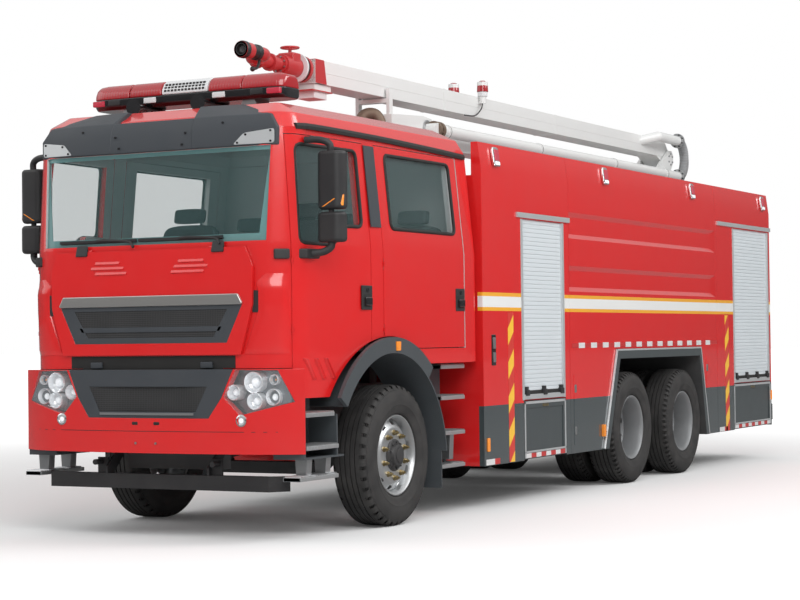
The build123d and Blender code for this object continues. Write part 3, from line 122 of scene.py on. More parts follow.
class Graph:
    """A material's node tree, built in small steps."""

    def __init__(self, name: str) -> None:
        """Starts a material.

        Args:
            name: the material's name.
        """
        self.material = bpy.data.materials.new(name)
        self.material.use_nodes = True
        self.tree = self.material.node_tree
        self.shader = self.tree.nodes["Principled BSDF"]
        self.place = self.tree.nodes.new("ShaderNodeTexCoord").outputs["Object"]
        split = self.tree.nodes.new("ShaderNodeSeparateXYZ")
        self.feed(split.inputs[0], self.place)
        self.coords = list(split.outputs)

    def feed(self, socket: bpy.types.NodeSocket, value: object) -> None:
        """Links a socket into another, or sets its number.

        Args:
            socket: the input.
            value: another node's output, or a plain value.
        """
        if isinstance(value, bpy.types.NodeSocket):
            self.tree.links.new(value, socket)
        else:
            socket.default_value = value

    def maths(self, operation: str, first: object, second: object = 0.0) -> bpy.types.NodeSocket:
        """One step of arithmetic.

        Args:
            operation: the Math node's operation.
            first: first operand.
            second: second operand.

        Returns:
            The result's socket.
        """
        node = self.tree.nodes.new("ShaderNodeMath")
        node.operation = operation
        self.feed(node.inputs[0], first)
        self.feed(node.inputs[1], second)
        return node.outputs[0]

    def blend(self, share: object, first: object, second: object) -> bpy.types.NodeSocket:
        """Mixes two colours.

        Args:
            share: how much of the second.
            first: first colour.
            second: second colour.

        Returns:
            The mixed colour's socket.
        """
        node = self.tree.nodes.new("ShaderNodeMix")
        node.data_type = "RGBA"
        self.feed(node.inputs[0], share)
        for socket, value in ((node.inputs[6], first), (node.inputs[7], second)):
            self.feed(socket, (*value, 1.0) if isinstance(value, tuple) else value)
        return node.outputs[2]

    def noise(
        self, scale: float, stretch: Point = (1.0, 1.0, 1.0), detail: float = 3.0
    ) -> bpy.types.NodeSocket:
        """Cloudy noise on Object coordinates.

        Args:
            scale: cycles to a metre.
            stretch: factors on the three axes, for a brushed grain.
            detail: octaves.

        Returns:
            The noise's value, from 0 to 1.
        """
        mapping = self.tree.nodes.new("ShaderNodeMapping")
        mapping.inputs["Scale"].default_value = stretch
        self.feed(mapping.inputs["Vector"], self.place)
        node = self.tree.nodes.new("ShaderNodeTexNoise")
        node.inputs["Scale"].default_value = scale
        node.inputs["Detail"].default_value = detail
        self.feed(node.inputs["Vector"], mapping.outputs[0])
        return node.outputs[0]

    def wave(self, along: bpy.types.NodeSocket, pitch: float) -> bpy.types.NodeSocket:
        """A sine of one coordinate with a given pitch."""
        return self.maths("SINE", self.maths("MULTIPLY", along, math.tau / pitch))

    def within(self, axis: Axis, span: Range, mirrored: bool = False) -> bpy.types.NodeSocket:
        """One inside a span of a coordinate, and zero outside.

        Args:
            axis: the coordinate.
            span: its low and high ends, from the front axle.
            mirrored: whether the coordinate's sign is dropped.

        Returns:
            The mask's socket.
        """
        at = self.maths("ABSOLUTE", self.coords[axis.value]) if mirrored else self.coords[axis.value]
        shift = AXLE[axis.value]
        above = self.maths("GREATER_THAN", at, span[0] + shift)
        below = self.maths("LESS_THAN", at, span[1] + shift)
        return self.maths("MULTIPLY", above, below)


@dataclass(frozen=True)
class Band:
    """A zone of another colour on a finish, between two heights on the outer sides.

    colour: the zone's colour. z: its heights. outside: least distance from the middle plane.
    """

    colour: Colour
    z: Range
    outside: float = 1.205

    def share(self, graph: Graph) -> bpy.types.NodeSocket:
        """The zone's mask on a material under construction."""
        heights = graph.within(Axis.Z, self.z)
        return graph.maths("MULTIPLY", heights, graph.within(Axis.X, (self.outside, FAR), True))


@dataclass(frozen=True)
class Finish:
    """A surface finish on Object coordinates.

    slot names the record's material slot, and is not used. mottle is the share of dulling cloud, relief the
    strength of the fine bumps, and stretch draws the noise out into a grain.
    """

    name: str
    colour: Colour
    slot: str
    roughness: float = 0.45
    metallic: float = 0.0
    coat: float = 0.0
    mottle: float = 0.12
    mottle_scale: float = 5.0
    dust: Colour = (0.16, 0.15, 0.14)
    relief: float = 0.08
    relief_scale: float = 350.0
    stretch: tuple[float, float, float] = (1.0, 1.0, 1.0)
    alpha: float = 1.0
    glow: float = 0.0
    bands: tuple[Band, ...] = ()

    def tint(self, graph: Graph) -> object:
        """The colour before dulling.

        Args:
            graph: the material under construction.

        Returns:
            A colour, or a socket that gives one.
        """
        colour: object = self.colour
        for band in self.bands:
            colour = graph.blend(band.share(graph), colour, band.colour)
        return colour

    def height(self, graph: Graph) -> bpy.types.NodeSocket:
        """The fine relief: noise drawn out along the grain."""
        return graph.noise(self.relief_scale, self.stretch, 2.0)

    def opacity(self, graph: Graph) -> object:
        """How much light the surface stops."""
        return self.alpha

    def material(self) -> bpy.types.Material:
        """The finish as a material, made once.

        Returns:
            The material.
        """
        made = bpy.data.materials.get(self.name)
        if made is not None:
            return made
        graph = Graph(self.name)
        shader = graph.shader.inputs
        cloud = graph.noise(self.mottle_scale, self.stretch)
        dulling = graph.maths("MULTIPLY", cloud, self.mottle)
        graph.feed(shader["Base Color"], graph.blend(dulling, self.tint(graph), self.dust))
        uneven = graph.maths("MULTIPLY", cloud, self.roughness * CLOUD_SHARE)
        rough = graph.maths("ADD", self.roughness * (1.0 - CLOUD_SHARE / 2), uneven)
        graph.feed(shader["Roughness"], rough)
        shader["Metallic"].default_value = self.metallic
        shader["Coat Weight"].default_value = self.coat
        shader["Coat Roughness"].default_value = COAT_ROUGHNESS
        graph.feed(shader["Alpha"], self.opacity(graph))
        if self.glow:
            shader["Emission Color"].default_value = (*self.colour, 1.0)
            shader["Emission Strength"].default_value = self.glow
        bump = graph.tree.nodes.new("ShaderNodeBump")
        bump.inputs["Strength"].default_value = self.relief
        bump.inputs["Distance"].default_value = BUMP_HEIGHT
        graph.feed(bump.inputs["Height"], self.height(graph))
        graph.feed(shader["Normal"], bump.outputs[0])
        return graph.material


@dataclass(frozen=True)
class Ribbed(Finish):
    """A finish with even ribs across one axis, such as a fluted lens or a corrugated hose."""

    across: Axis = Axis.Y
    pitch: float = 0.012

    def height(self, graph: Graph) -> bpy.types.NodeSocket:
        """Even ribs: a sine of the coordinate across them."""
        return graph.wave(graph.coords[self.across.value], self.pitch)


@dataclass(frozen=True)
class Diagonal(Finish):
    """A finish with slanting stripes of a second colour."""

    second: Colour = (0.9, 0.55, 0.03)
    pitch: float = 0.3

    def tint(self, graph: Graph) -> object:
        """Stripes that climb to the rear at half a right angle.

        Args:
            graph: the material under construction.

        Returns:
            The colour's socket.
        """
        slope = graph.maths("SUBTRACT", graph.coords[Axis.Z.value], graph.coords[Axis.Y.value])
        turn = graph.maths("FRACT", graph.maths("DIVIDE", slope, self.pitch))
        return graph.blend(graph.maths("GREATER_THAN", turn, 0.5), self.colour, self.second)


@dataclass(frozen=True)
class TreadPlate(Finish):
    """Aluminium plate with raised lozenges in two directions."""

    pitch: float = 0.05

    def height(self, graph: Graph) -> bpy.types.NodeSocket:
        """Crossed waves on the plate's plan.

        Args:
            graph: the material under construction.

        Returns:
            The height's socket.
        """
        waves = []
        for operation in ("ADD", "SUBTRACT"):
            slant = graph.maths(operation, graph.coords[0], graph.coords[1])
            waves.append(graph.wave(slant, self.pitch))
        return graph.maths("MULTIPLY", waves[0], waves[1])


@dataclass(frozen=True)
class Screen(Finish):
    """Tinted glass with a dark printed border outside a clear field.

    clear_half is the clear field's half width at its foot, flare how much it widens with height, and
    clear_z its foot and head.
    """

    clear_half: float = 0.885
    flare: float = 0.11
    clear_z: Range = (2.13, 2.705)

    def field(self, graph: Graph) -> bpy.types.NodeSocket:
        """The clear field's mask.

        Args:
            graph: the material under construction.

        Returns:
            The mask's socket.
        """
        rise = graph.maths("SUBTRACT", graph.coords[2], self.clear_z[0])
        edge = graph.maths("ADD", graph.maths("MULTIPLY", rise, self.flare), self.clear_half)
        inside = graph.maths("LESS_THAN", graph.maths("ABSOLUTE", graph.coords[0]), edge)
        return graph.maths("MULTIPLY", inside, graph.within(Axis.Z, self.clear_z))

    def opacity(self, graph: Graph) -> object:
        """Clear in the field and closed on the border."""
        return graph.maths("SUBTRACT", 1.0, graph.maths("MULTIPLY", self.field(graph), 1.0 - self.alpha))


@dataclass(frozen=True)
class Mesh(Finish):
    """Dark wire mesh: a pale wire pattern on the two axes of the front."""

    pitch: float = 0.014
    crest: float = 0.72
    wire: Colour = (0.035, 0.036, 0.038)

    def tint(self, graph: Graph) -> object:
        """Open cells between crossing wires.

        Args:
            graph: the material under construction.

        Returns:
            The colour's socket.
        """
        waves = [graph.wave(graph.coords[axis.value], self.pitch) for axis in (Axis.X, Axis.Z)]
        cell = graph.maths("GREATER_THAN", graph.maths("MAXIMUM", *waves), self.crest)
        return graph.blend(cell, self.colour, self.wire)


RED = (0.64, 0.01, 0.011)
GREY = (0.046, 0.058, 0.062)
WHITE = (0.78, 0.79, 0.78)
YELLOW = (0.84, 0.4, 0.03)

PAINT = Finish(
    "fire_red_paint", RED, "red_paint", 0.22, coat=0.8, mottle=0.05, relief=0.02, relief_scale=260.0,
)
BODY_PAINT = Finish(
    "striped_body_paint", RED, "red_paint", 0.24, coat=0.7, mottle=0.05, relief=0.02, relief_scale=260.0,
    bands=(
        Band(GREY, (0.3, 0.842)),
        Band(YELLOW, (1.607, 1.756)),
        Band(WHITE, (1.637, 1.725)),
    ),
)
BOOM_PAINT = Finish(
    "boom_white_paint", WHITE, "white_paint", 0.35, coat=0.4, mottle=0.08, mottle_scale=3.0, relief=0.03,
)
MONITOR_PAINT = Finish(
    "monitor_red_paint", (0.5, 0.02, 0.025), "red_paint", 0.38, coat=0.3, mottle=0.15, relief=0.1,
)
TRIM = Finish(
    "charcoal_trim", (0.036, 0.043, 0.052), "dark_trim", 0.55, mottle=0.1, relief=0.18, relief_scale=900.0,
)
FLARE = Finish(
    "grey_flare_plastic", (0.05, 0.059, 0.066), "dark_trim", 0.5, mottle=0.1, relief=0.16,
    relief_scale=900.0,
)
BLACK = Finish(
    "black_plastic", (0.012, 0.012, 0.014), "dark_trim", 0.5, mottle=0.15, relief=0.15, relief_scale=700.0,
)
GLOSS_BLACK = Finish(
    "gloss_black", (0.01, 0.01, 0.012), "dark_trim", 0.16, coat=0.5, mottle=0.05, relief=0.01,
)
SEAL = Finish("rubber_seal", (0.01, 0.01, 0.01), "dark_trim", 0.7, mottle=0.1, relief=0.05)
GRILLE_MESH = Mesh("grille_mesh", (0.008, 0.008, 0.009), "dark_trim", 0.6, mottle=0.1, relief=0.05)
CHASSIS = Finish(
    "chassis_paint", (0.035, 0.037, 0.04), "frame_grey", 0.55, mottle=0.35, relief=0.15,
    relief_scale=120.0,
)
TYRE = Finish(
    "tyre_rubber", (0.009, 0.009, 0.01), "tyre", 0.72, mottle=0.3, mottle_scale=9.0, relief=0.15,
    relief_scale=500.0,
)
RIM = Finish("rim_silver", (0.52, 0.53, 0.54), "rim_silver", 0.34, metallic=0.75, mottle=0.18, relief=0.08)
DULL_RIM = Finish("dull_rim", (0.27, 0.28, 0.29), "rim_silver", 0.5, metallic=0.3, mottle=0.3, relief=0.12)
HUB = Finish(
    "hub_iron", (0.045, 0.045, 0.048), "frame_grey", 0.48, metallic=0.4, mottle=0.25, relief=0.25,
    relief_scale=160.0,
)
BRASS = Finish("brassy_nut", (0.46, 0.37, 0.2), "steel", 0.32, metallic=1.0, mottle=0.25)
CHROME = Finish("chrome", (0.78, 0.79, 0.8), "steel", 0.1, metallic=1.0, mottle=0.05, relief=0.01)
STEEL = Finish("zinc_steel", (0.48, 0.49, 0.5), "steel", 0.36, metallic=0.9, mottle=0.2)
BRUSHED = Finish(
    "brushed_band", (0.62, 0.61, 0.59), "steel", 0.3, metallic=0.9, mottle=0.25, stretch=(0.02, 1.0, 1.0),
    relief=0.1,
)
ALU = Finish(
    "aluminium_section", (0.66, 0.68, 0.69), "shutter_alu", 0.38, metallic=0.6, mottle=0.1,
    stretch=(1.0, 0.05, 1.0),
)
SLATS = Finish(
    "shutter_slats", (0.64, 0.69, 0.72), "shutter_alu", 0.45, metallic=0.15, mottle=0.08,
    stretch=(1.0, 0.04, 1.0),
)
DECK = TreadPlate(
    "deck_plate", (0.5, 0.51, 0.52), "shutter_alu", 0.4, metallic=0.8, mottle=0.25, relief=0.6,
)
GRIP = Ribbed(
    "step_grip", (0.62, 0.63, 0.64), "shutter_alu", 0.38, metallic=0.8, mottle=0.25, relief=0.8,
    across=Axis.Y, pitch=0.02,
)
PANE = Finish(
    "tinted_pane", (0.1, 0.17, 0.17), "red_paint", 0.04, coat=0.2, mottle=0.0, relief=0.0, alpha=0.2,
)
SCREEN = Screen(
    "windscreen_glass", (0.12, 0.24, 0.24), "red_paint", 0.04, coat=0.2, mottle=0.0, relief=0.0, alpha=0.12,
)
LENS = Finish("clear_lens", (0.8, 0.84, 0.86), "lamp", 0.05, coat=0.5, mottle=0.0, relief=0.0, alpha=0.1)
BOWL = Finish("lamp_reflector", (0.86, 0.88, 0.9), "lamp", 0.12, metallic=0.55, mottle=0.05)
LAMP_BED = Finish("lamp_bed", (0.22, 0.24, 0.26), "lamp", 0.2, metallic=0.6, mottle=0.1)
BULB = Finish("lamp_bulb", (0.85, 0.87, 0.9), "lamp", 0.08, mottle=0.0, relief=0.0, glow=0.15)
AMBER = Ribbed(
    "amber_lens", (0.85, 0.26, 0.02), "lamp_red", 0.18, coat=0.5, mottle=0.05, relief=0.3, across=Axis.Z,
    pitch=0.008, glow=0.1,
)
RED_LENS = Ribbed(
    "red_lens", (0.36, 0.006, 0.012), "lamp_red", 0.14, coat=0.6, mottle=0.06, relief=0.25, across=Axis.X,
    pitch=0.024, glow=0.02,
)
CLEAR_RED = Ribbed(
    "flash_lens", (0.5, 0.02, 0.05), "lamp_red", 0.14, coat=0.6, mottle=0.1, relief=0.35, across=Axis.Z,
    pitch=0.01, glow=0.05,
)
WHITE_SHELL = Finish("speaker_shell", (0.72, 0.73, 0.74), "lamp", 0.35, mottle=0.08)
HOSE = Ribbed(
    "grey_hose", (0.36, 0.37, 0.38), "hose", 0.55, mottle=0.3, relief=0.7, across=Axis.Z, pitch=0.018,
)
CABLE = Finish("black_cable", (0.014, 0.014, 0.015), "hose", 0.55, mottle=0.1)
RUSTY = Finish(
    "worn_swivel", (0.17, 0.11, 0.075), "steel", 0.6, metallic=0.5, mottle=0.6, mottle_scale=18.0,
    dust=(0.3, 0.25, 0.2),
)
SEAT_CLOTH = Finish(
    "seat_cloth", (0.05, 0.052, 0.058), "seat", 0.85, mottle=0.25, mottle_scale=40.0, relief=0.5,
    relief_scale=1500.0,
)
DASH = Finish(
    "dash_plastic", (0.055, 0.057, 0.06), "dark_trim", 0.55, mottle=0.1, relief=0.25, relief_scale=800.0,
)
LINING = Finish("cab_lining", (0.6, 0.62, 0.62), "dark_trim", 0.8, mottle=0.12, relief=0.2)
HAZARD = Diagonal(
    "hazard_strip", (0.6, 0.03, 0.02), "red_paint", 0.35, coat=0.3, mottle=0.06,
    second=(0.86, 0.5, 0.03), pitch=0.28,
)
PALE_TAPE = Finish("pale_reflector", (0.66, 0.66, 0.66), "white_paint", 0.3, coat=0.3, mottle=0.1)
RED_TAPE = Finish("red_reflector", (0.5, 0.02, 0.02), "red_paint", 0.3, coat=0.3, mottle=0.1)
GREY_PANEL = Finish("grey_panel", GREY, "dark_trim", 0.34, coat=0.3, mottle=0.08, relief=0.03)
MIRROR = Finish("mirror_glass", (0.8, 0.82, 0.84), "steel", 0.03, metallic=1.0, mottle=0.0, relief=0.0)
FLOOR_MAT = Finish("cab_floor_mat", (0.03, 0.03, 0.032), "dark_trim", 0.8, mottle=0.2, relief=0.3)


def curve_through(points: Sequence[Point], steps: int = 6) -> list[Vector]:
    """A smooth run through points.

    Args:
        points: the places it passes.
        steps: how many pieces each stretch is cut into.

    Returns:
        The run's points.
    """
    knots = [Vector(p) for p in points]
    ends = [knots[0] * 2 - knots[1], *knots, knots[-1] * 2 - knots[-2]]
    run = []
    for a, b, c, d in zip(ends, ends[1:], ends[2:], ends[3:]):
        for i in range(steps):
            t = i / steps
            bend = (a * 2 - b * 5 + c * 4 - d) * t**2 + (b * 3 - a - c * 3 + d) * t**3
            run.append((b * 2 + (c - a) * t + bend) / 2)
    return [*run, knots[-1]]


def rounded_loop(points: Sequence[Flat], radius: float, steps: int = 6) -> list[Flat]:
    """A closed outline with rounded corners.

    Args:
        points: the outline's corners.
        radius: how far before and after a corner its rounding runs.
        steps: how many pieces a corner is cut into.

    Returns:
        The outline's points.
    """
    corners = [Vector(p) for p in points]
    run = []
    for i, at in enumerate(corners):
        a = at + (corners[i - 1] - at).normalized() * radius
        b = at + (corners[(i + 1) % len(corners)] - at).normalized() * radius
        for k in range(steps + 1):
            t = k / steps
            spot = a * (1 - t) ** 2 + at * 2 * t * (1 - t) + b * t**2
            run.append((spot.x, spot.y))
    return run


class Piece:
    """A mesh under construction. Each shape added takes the finish that ink() names after it."""

    def __init__(self, name: str) -> None:
        """Starts an empty mesh.

        Args:
            name: the finished object's name.
        """
        self.name = name
        self.bm = bmesh.new()
        self.layer = self.bm.faces.layers.int.new("ink")
        self.finishes: list[Finish] = []

    @classmethod
    def copy_of(cls, node: str) -> "Piece":
        """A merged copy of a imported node, moved to the front axle.

        Args:
            node: the node's name.

        Returns:
            The copy, under construction.
        """
        piece = cls(f"{node}_skin")
        piece.bm.from_mesh(frame["nodes"][node].data)
        piece.layer = piece.bm.faces.layers.int.get("ink") or piece.bm.faces.layers.int.new("ink")
        bmesh.ops.remove_doubles(piece.bm, verts=piece.bm.verts[:], dist=WELD)
        verts, edges = piece.bm.verts[:], piece.bm.edges[:]
        bmesh.ops.dissolve_limit(piece.bm, angle_limit=COPLANAR, verts=verts, edges=edges)
        bmesh.ops.translate(piece.bm, vec=-AXLE, verts=piece.bm.verts[:])
        return piece

    def mark(self, finish: Finish) -> int:
        """The number that stands for a finish on the faces.

        Args:
            finish: the finish.

        Returns:
            Its place in the piece's list, from 1.
        """
        if finish not in self.finishes:
            self.finishes.append(finish)
        return self.finishes.index(finish) + 1

    def ink(self, finish: Finish) -> "Piece":
        """Gives a finish to every face that has none yet.

        Args:
            finish: the finish.

        Returns:
            This piece.
        """
        number = self.mark(finish)
        for face in self.bm.faces:
            if not face[self.layer]:
                face[self.layer] = number
        return self

    def zone(self, finish: Finish, low: Point, high: Point) -> "Piece":
        """Gives a finish to the loose shapes that lie inside a box.

        Args:
            finish: the finish.
            low: the box's low corner.
            high: its high corner.

        Returns:
            This piece.
        """
        number = self.mark(finish)

        def inside(face: bmesh.types.BMFace) -> bool:
            """Whether all of a face lies in the box."""
            return all(a - TOUCH <= c <= b + TOUCH for v in face.verts for a, c, b in zip(low, v.co, high))

        for group in self.islands():
            if all(inside(f) for f in group):
                for face in group:
                    face[self.layer] = number
        return self

    def islands(self) -> list[list[bmesh.types.BMFace]]:
        """The faces of each loose shape.

        Returns:
            A list of faces for each shape.
        """
        left = set(self.bm.faces)
        groups = []
        while left:
            queue = [left.pop()]
            group = list(queue)
            while queue:
                around = {g for v in queue.pop().verts for g in v.link_faces} & left
                left -= around
                queue.extend(around)
                group.extend(around)
            groups.append(group)
        return groups

    def soften(self, old: set[bmesh.types.BMVert], width: float, segments: int = 2) -> "Piece":
        """Rounds the sharp edges of the shape that was just added.

        Args:
            old: the vertices that were there before it.
            width: the rounding's width, or 0 for none.
            segments: facets across it.

        Returns:
            This piece.
        """
        if width > 0:
            self.bm.normal_update()
            fresh = {e for v in self.bm.verts if v not in old for e in v.link_edges}
            sharp = [e for e in fresh if len(e.link_faces) == 2 and e.calc_face_angle(0.0) > SHARP]
            bmesh.ops.bevel(
                self.bm, geom=sharp, offset=width, offset_type="OFFSET", segments=segments, profile=0.5,
                affect="EDGES", material=-1, clamp_overlap=True,
            )
        return self

    def box(self, low: Point, high: Point, soft: float = 0.004, segments: int = 2) -> "Piece":
        """Adds a block between two corners.

        Args:
            low: one corner.
            high: the opposite corner.
            soft: rounding of its edges.
            segments: facets across the rounding.

        Returns:
            This piece.
        """
        old = set(self.bm.verts)
        a, b = Vector(low), Vector(high)
        size = Matrix.Diagonal((*(abs(d) for d in b - a), 1.0))
        bmesh.ops.create_cube(self.bm, size=1.0, matrix=Matrix.Translation((a + b) / 2) @ size)
        return self.soften(old, soft, segments)

    def rod(self, a: Point, b: Point, radius: float, end: float | None = None, segments: int = 24,
            soft: float = 0.0) -> "Piece":
        """Adds a round bar or a cone between two points.

        Args:
            a: first end.
            b: second end.
            radius: radius at the first end.
            end: radius at the second end, if it differs.
            segments: facets round it.
            soft: rounding of its end edges.

        Returns:
            This piece.
        """
        old = set(self.bm.verts)
        va, vb = Vector(a), Vector(b)
        turn = (vb - va).to_track_quat("Z", "Y").to_matrix().to_4x4()
        bmesh.ops.create_cone(
            self.bm, cap_ends=True, cap_tris=False, segments=segments, radius1=radius,
            radius2=radius if end is None else end, depth=(vb - va).length,
            matrix=Matrix.Translation((va + vb) / 2) @ turn,
        )
        return self.soften(old, soft)

    def lathe(self, profile: Sequence[Flat], centre: Point, axis: Axis = Axis.X, segments: int = 48,
              closed: bool = True) -> "Piece":
        """Turns a profile about an axis.

        Args:
            profile: points (distance along the axis, radius).
            centre: a point on the axis, from which the distances run.
            axis: the axis.
            segments: facets round it.
            closed: whether the last point joins the first.

        Returns:
            This piece.
        """
        old = set(self.bm.verts)
        out = Axis.X.unit if axis is Axis.Z else Axis.Z.unit
        verts = [self.bm.verts.new(Vector(centre) + axis.unit * s + out * r) for s, r in profile]
        pairs = list(zip(verts, verts[1:])) + ([(verts[-1], verts[0])] if closed else [])
        edges = [self.bm.edges.new(pair) for pair in pairs]
        bmesh.ops.spin(
            self.bm, geom=verts + edges, cent=centre, axis=axis.unit, angle=math.tau, steps=segments,
            use_merge=True, use_duplicate=False,
        )
        fresh = [v for v in self.bm.verts if v not in old]
        bmesh.ops.remove_doubles(self.bm, verts=fresh, dist=SEAM)
        return self

    def ring(self, at: Point, axis: Axis, radii: Range, along: Range, segments: int = 32) -> "Piece":
        """Adds a flat ring about an axis: its radii, and its two ends along the axis."""
        (inner, outer), (start, end) = radii, along
        return self.lathe([(start, inner), (start, outer), (end, outer), (end, inner)], at, axis, segments)

    def plate(self, outline: Sequence[Flat], axis: Axis, start: float, depth: float, soft: float = 0.0,
              segments: int = 2) -> "Piece":
        """Adds a polygon drawn square to an axis and given a depth along it.

        Args:
            outline: points on the two other axes, in the order X, Y, Z.
            axis: the axis.
            start: where on the axis the polygon lies.
            depth: how far it runs, with its sign.
            soft: rounding of its edges.
            segments: facets across the rounding.

        Returns:
            This piece.
        """
        old = set(self.bm.verts)
        verts = []
        for p in outline:
            spot = list(p)
            spot.insert(axis.value, start)
            verts.append(self.bm.verts.new(spot))
        face = self.bm.faces.new(verts)
        grown = bmesh.ops.extrude_face_region(self.bm, geom=[face])["geom"]
        moved = [g for g in grown if isinstance(g, bmesh.types.BMVert)]
        bmesh.ops.translate(self.bm, vec=axis.unit * depth, verts=moved)
        fresh = [f for v in self.bm.verts if v not in old for f in v.link_faces]
        bmesh.ops.recalc_face_normals(self.bm, faces=list(set(fresh)))
        return self.soften(old, soft, segments)

    def hull(self, points: Iterable[Point], soft: float = 0.0, segments: int = 2) -> "Piece":
        """Adds the convex solid round some points.

        Args:
            points: the corners.
            soft: rounding of its edges.
            segments: facets across the rounding.

        Returns:
            This piece.
        """
        old = set(self.bm.verts)
        verts = [self.bm.verts.new(p) for p in points]
        bmesh.ops.convex_hull(self.bm, input=verts)
        fresh = [v for v in self.bm.verts if v not in old]
        flat = list({e for v in fresh for e in v.link_edges})
        bmesh.ops.dissolve_limit(self.bm, angle_limit=HULL_COPLANAR, verts=fresh, edges=flat)
        return self.soften(old, soft, segments)

    def tube(self, points: Sequence[Point], radius: float, segments: int = 12) -> "Piece":
        """Runs a round section along a path and closes its ends.

        Args:
            points: the path.
            radius: the section's radius.
            segments: facets round it.

        Returns:
            This piece.
        """
        path = [Vector(p) for p in points]
        last = len(path) - 1
        across: Vector | None = None
        loops: list[list[bmesh.types.BMEdge]] = []
        for i, at in enumerate(path):
            ahead = (path[min(i + 1, last)] - path[max(i - 1, 0)]).normalized()
            across = ahead.orthogonal() if across is None else across
            across = (across - ahead * across.dot(ahead)).normalized()
            turn = Matrix((ahead.cross(across), across, ahead)).transposed().to_4x4()
            turn.translation = at
            ring = bmesh.ops.create_circle(
                self.bm, cap_ends=i in (0, last), segments=segments, radius=radius, matrix=turn
            )["verts"]
            members = set(ring)
            loops.append(list({e for v in ring for e in v.link_edges if e.other_vert(v) in members}))
        for a, b in zip(loops, loops[1:]):
            bmesh.ops.bridge_loops(self.bm, edges=a + b)
        return self

    def ball(self, centre: Point, size: Point, rings: int = 12) -> "Piece":
        """Adds an ellipsoid.

        Args:
            centre: its middle.
            size: its three half lengths.
            rings: facets from pole to pole.

        Returns:
            This piece.
        """
        place = Matrix.Translation(centre) @ Matrix.Diagonal((*size, 1.0))
        bmesh.ops.create_uvsphere(self.bm, u_segments=rings * 2, v_segments=rings, radius=1.0, matrix=place)
        return self

    def bolts(self, centre: Point, axis: Axis, circle: float, count: int, radius: float, depth: float,
              sides: int = 6) -> "Piece":
        """Adds a ring of bolt heads.

        Args:
            centre: the ring's middle, on the face that the heads stand on.
            axis: the ring's axis.
            circle: the ring's radius.
            count: how many.
            radius: a head's radius.
            depth: how far they stand out along the axis, with its sign.
            sides: a head's corners.

        Returns:
            This piece.
        """
        one, two = [a.unit for a in Axis if a is not axis]
        for i in range(count):
            turn = math.tau * (i + 0.5) / count
            at = Vector(centre) + (one * math.cos(turn) + two * math.sin(turn)) * circle
            self.rod(at, at + axis.unit * depth, radius, segments=sides)
        return self

    def close(
        self, body: str | None, *nodes: str, smooth: float = 32.0, outward: bool = True
    ) -> bpy.types.Object:
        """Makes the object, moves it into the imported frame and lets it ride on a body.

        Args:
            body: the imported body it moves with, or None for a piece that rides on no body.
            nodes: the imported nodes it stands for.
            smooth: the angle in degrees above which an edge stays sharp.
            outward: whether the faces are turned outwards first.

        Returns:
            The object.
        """
        if outward:
            bmesh.ops.recalc_face_normals(self.bm, faces=self.bm.faces[:])
        bmesh.ops.translate(self.bm, vec=AXLE, verts=self.bm.verts[:])
        for face in self.bm.faces:
            face.smooth = True
            face.material_index = max(face[self.layer] - 1, 0)
        mesh = bpy.data.meshes.new(self.name)
        self.bm.to_mesh(mesh)
        self.bm.free()
        mesh.set_sharp_from_angle(angle=math.radians(smooth))
        for finish in self.finishes:
            mesh.materials.append(finish.material())
        made = bpy.data.objects.new(self.name, mesh)
        bpy.context.scene.collection.objects.link(made)
        if body is not None:
            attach(made, body)
            weighting = made.modifiers.new("weighting", "WEIGHTED_NORMAL")
            weighting.keep_sharp = True
        if nodes:
            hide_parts(*nodes)
        LOG.info("%s: %d faces on %s", self.name, len(mesh.polygons), body)
        return made


def body_of(node: str) -> str:
    """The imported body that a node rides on."""
    return frame["nodes"][node]["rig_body"]


def skin(node: str, finish: Finish, soft: float = 0.0, segments: int = 2) -> Piece:
    """A merged copy of a node with softened edges and one finish, ready for zones.

    Args:
        node: the node's name.
        finish: its finish.
        soft: rounding of its sharp edges.
        segments: facets across the rounding.

    Returns:
        The copy, under construction.
    """
    return Piece.copy_of(node).soften(set(), soft, segments).ink(finish)


@cache
def tree_of(node: str) -> BVHTree:
    """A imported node's faces from the front axle, ready for rays.

    Args:
        node: the node's name.

    Returns:
        The tree of its faces.
    """
    mesh = frame["nodes"][node].data
    points = [v.co - AXLE for v in mesh.vertices]
    return BVHTree.FromPolygons(points, [tuple(p.vertices) for p in mesh.polygons])


def front_y(node: str, x: float, z: float) -> float:
    """The distance behind the front axle of a node's surface, for a ray from the front."""
    return tree_of(node).ray_cast(Vector((x, RAY_FRONT, z)), Axis.Y.unit)[0].y


def side_x(node: str, y: float, z: float, s: int) -> float:
    """The distance from the middle plane of a node's surface, for a ray from side s."""
    return tree_of(node).ray_cast(Vector((s * RAY_SIDE, y, z)), Axis.X.unit * -s)[0].x


def dress(node: str, finish: Finish) -> None:
    """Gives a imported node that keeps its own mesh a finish.

    Args:
        node: the node's name.
        finish: its finish.
    """
    mesh = frame["nodes"][node].data
    mesh.materials.clear()
    mesh.materials.append(finish.material())


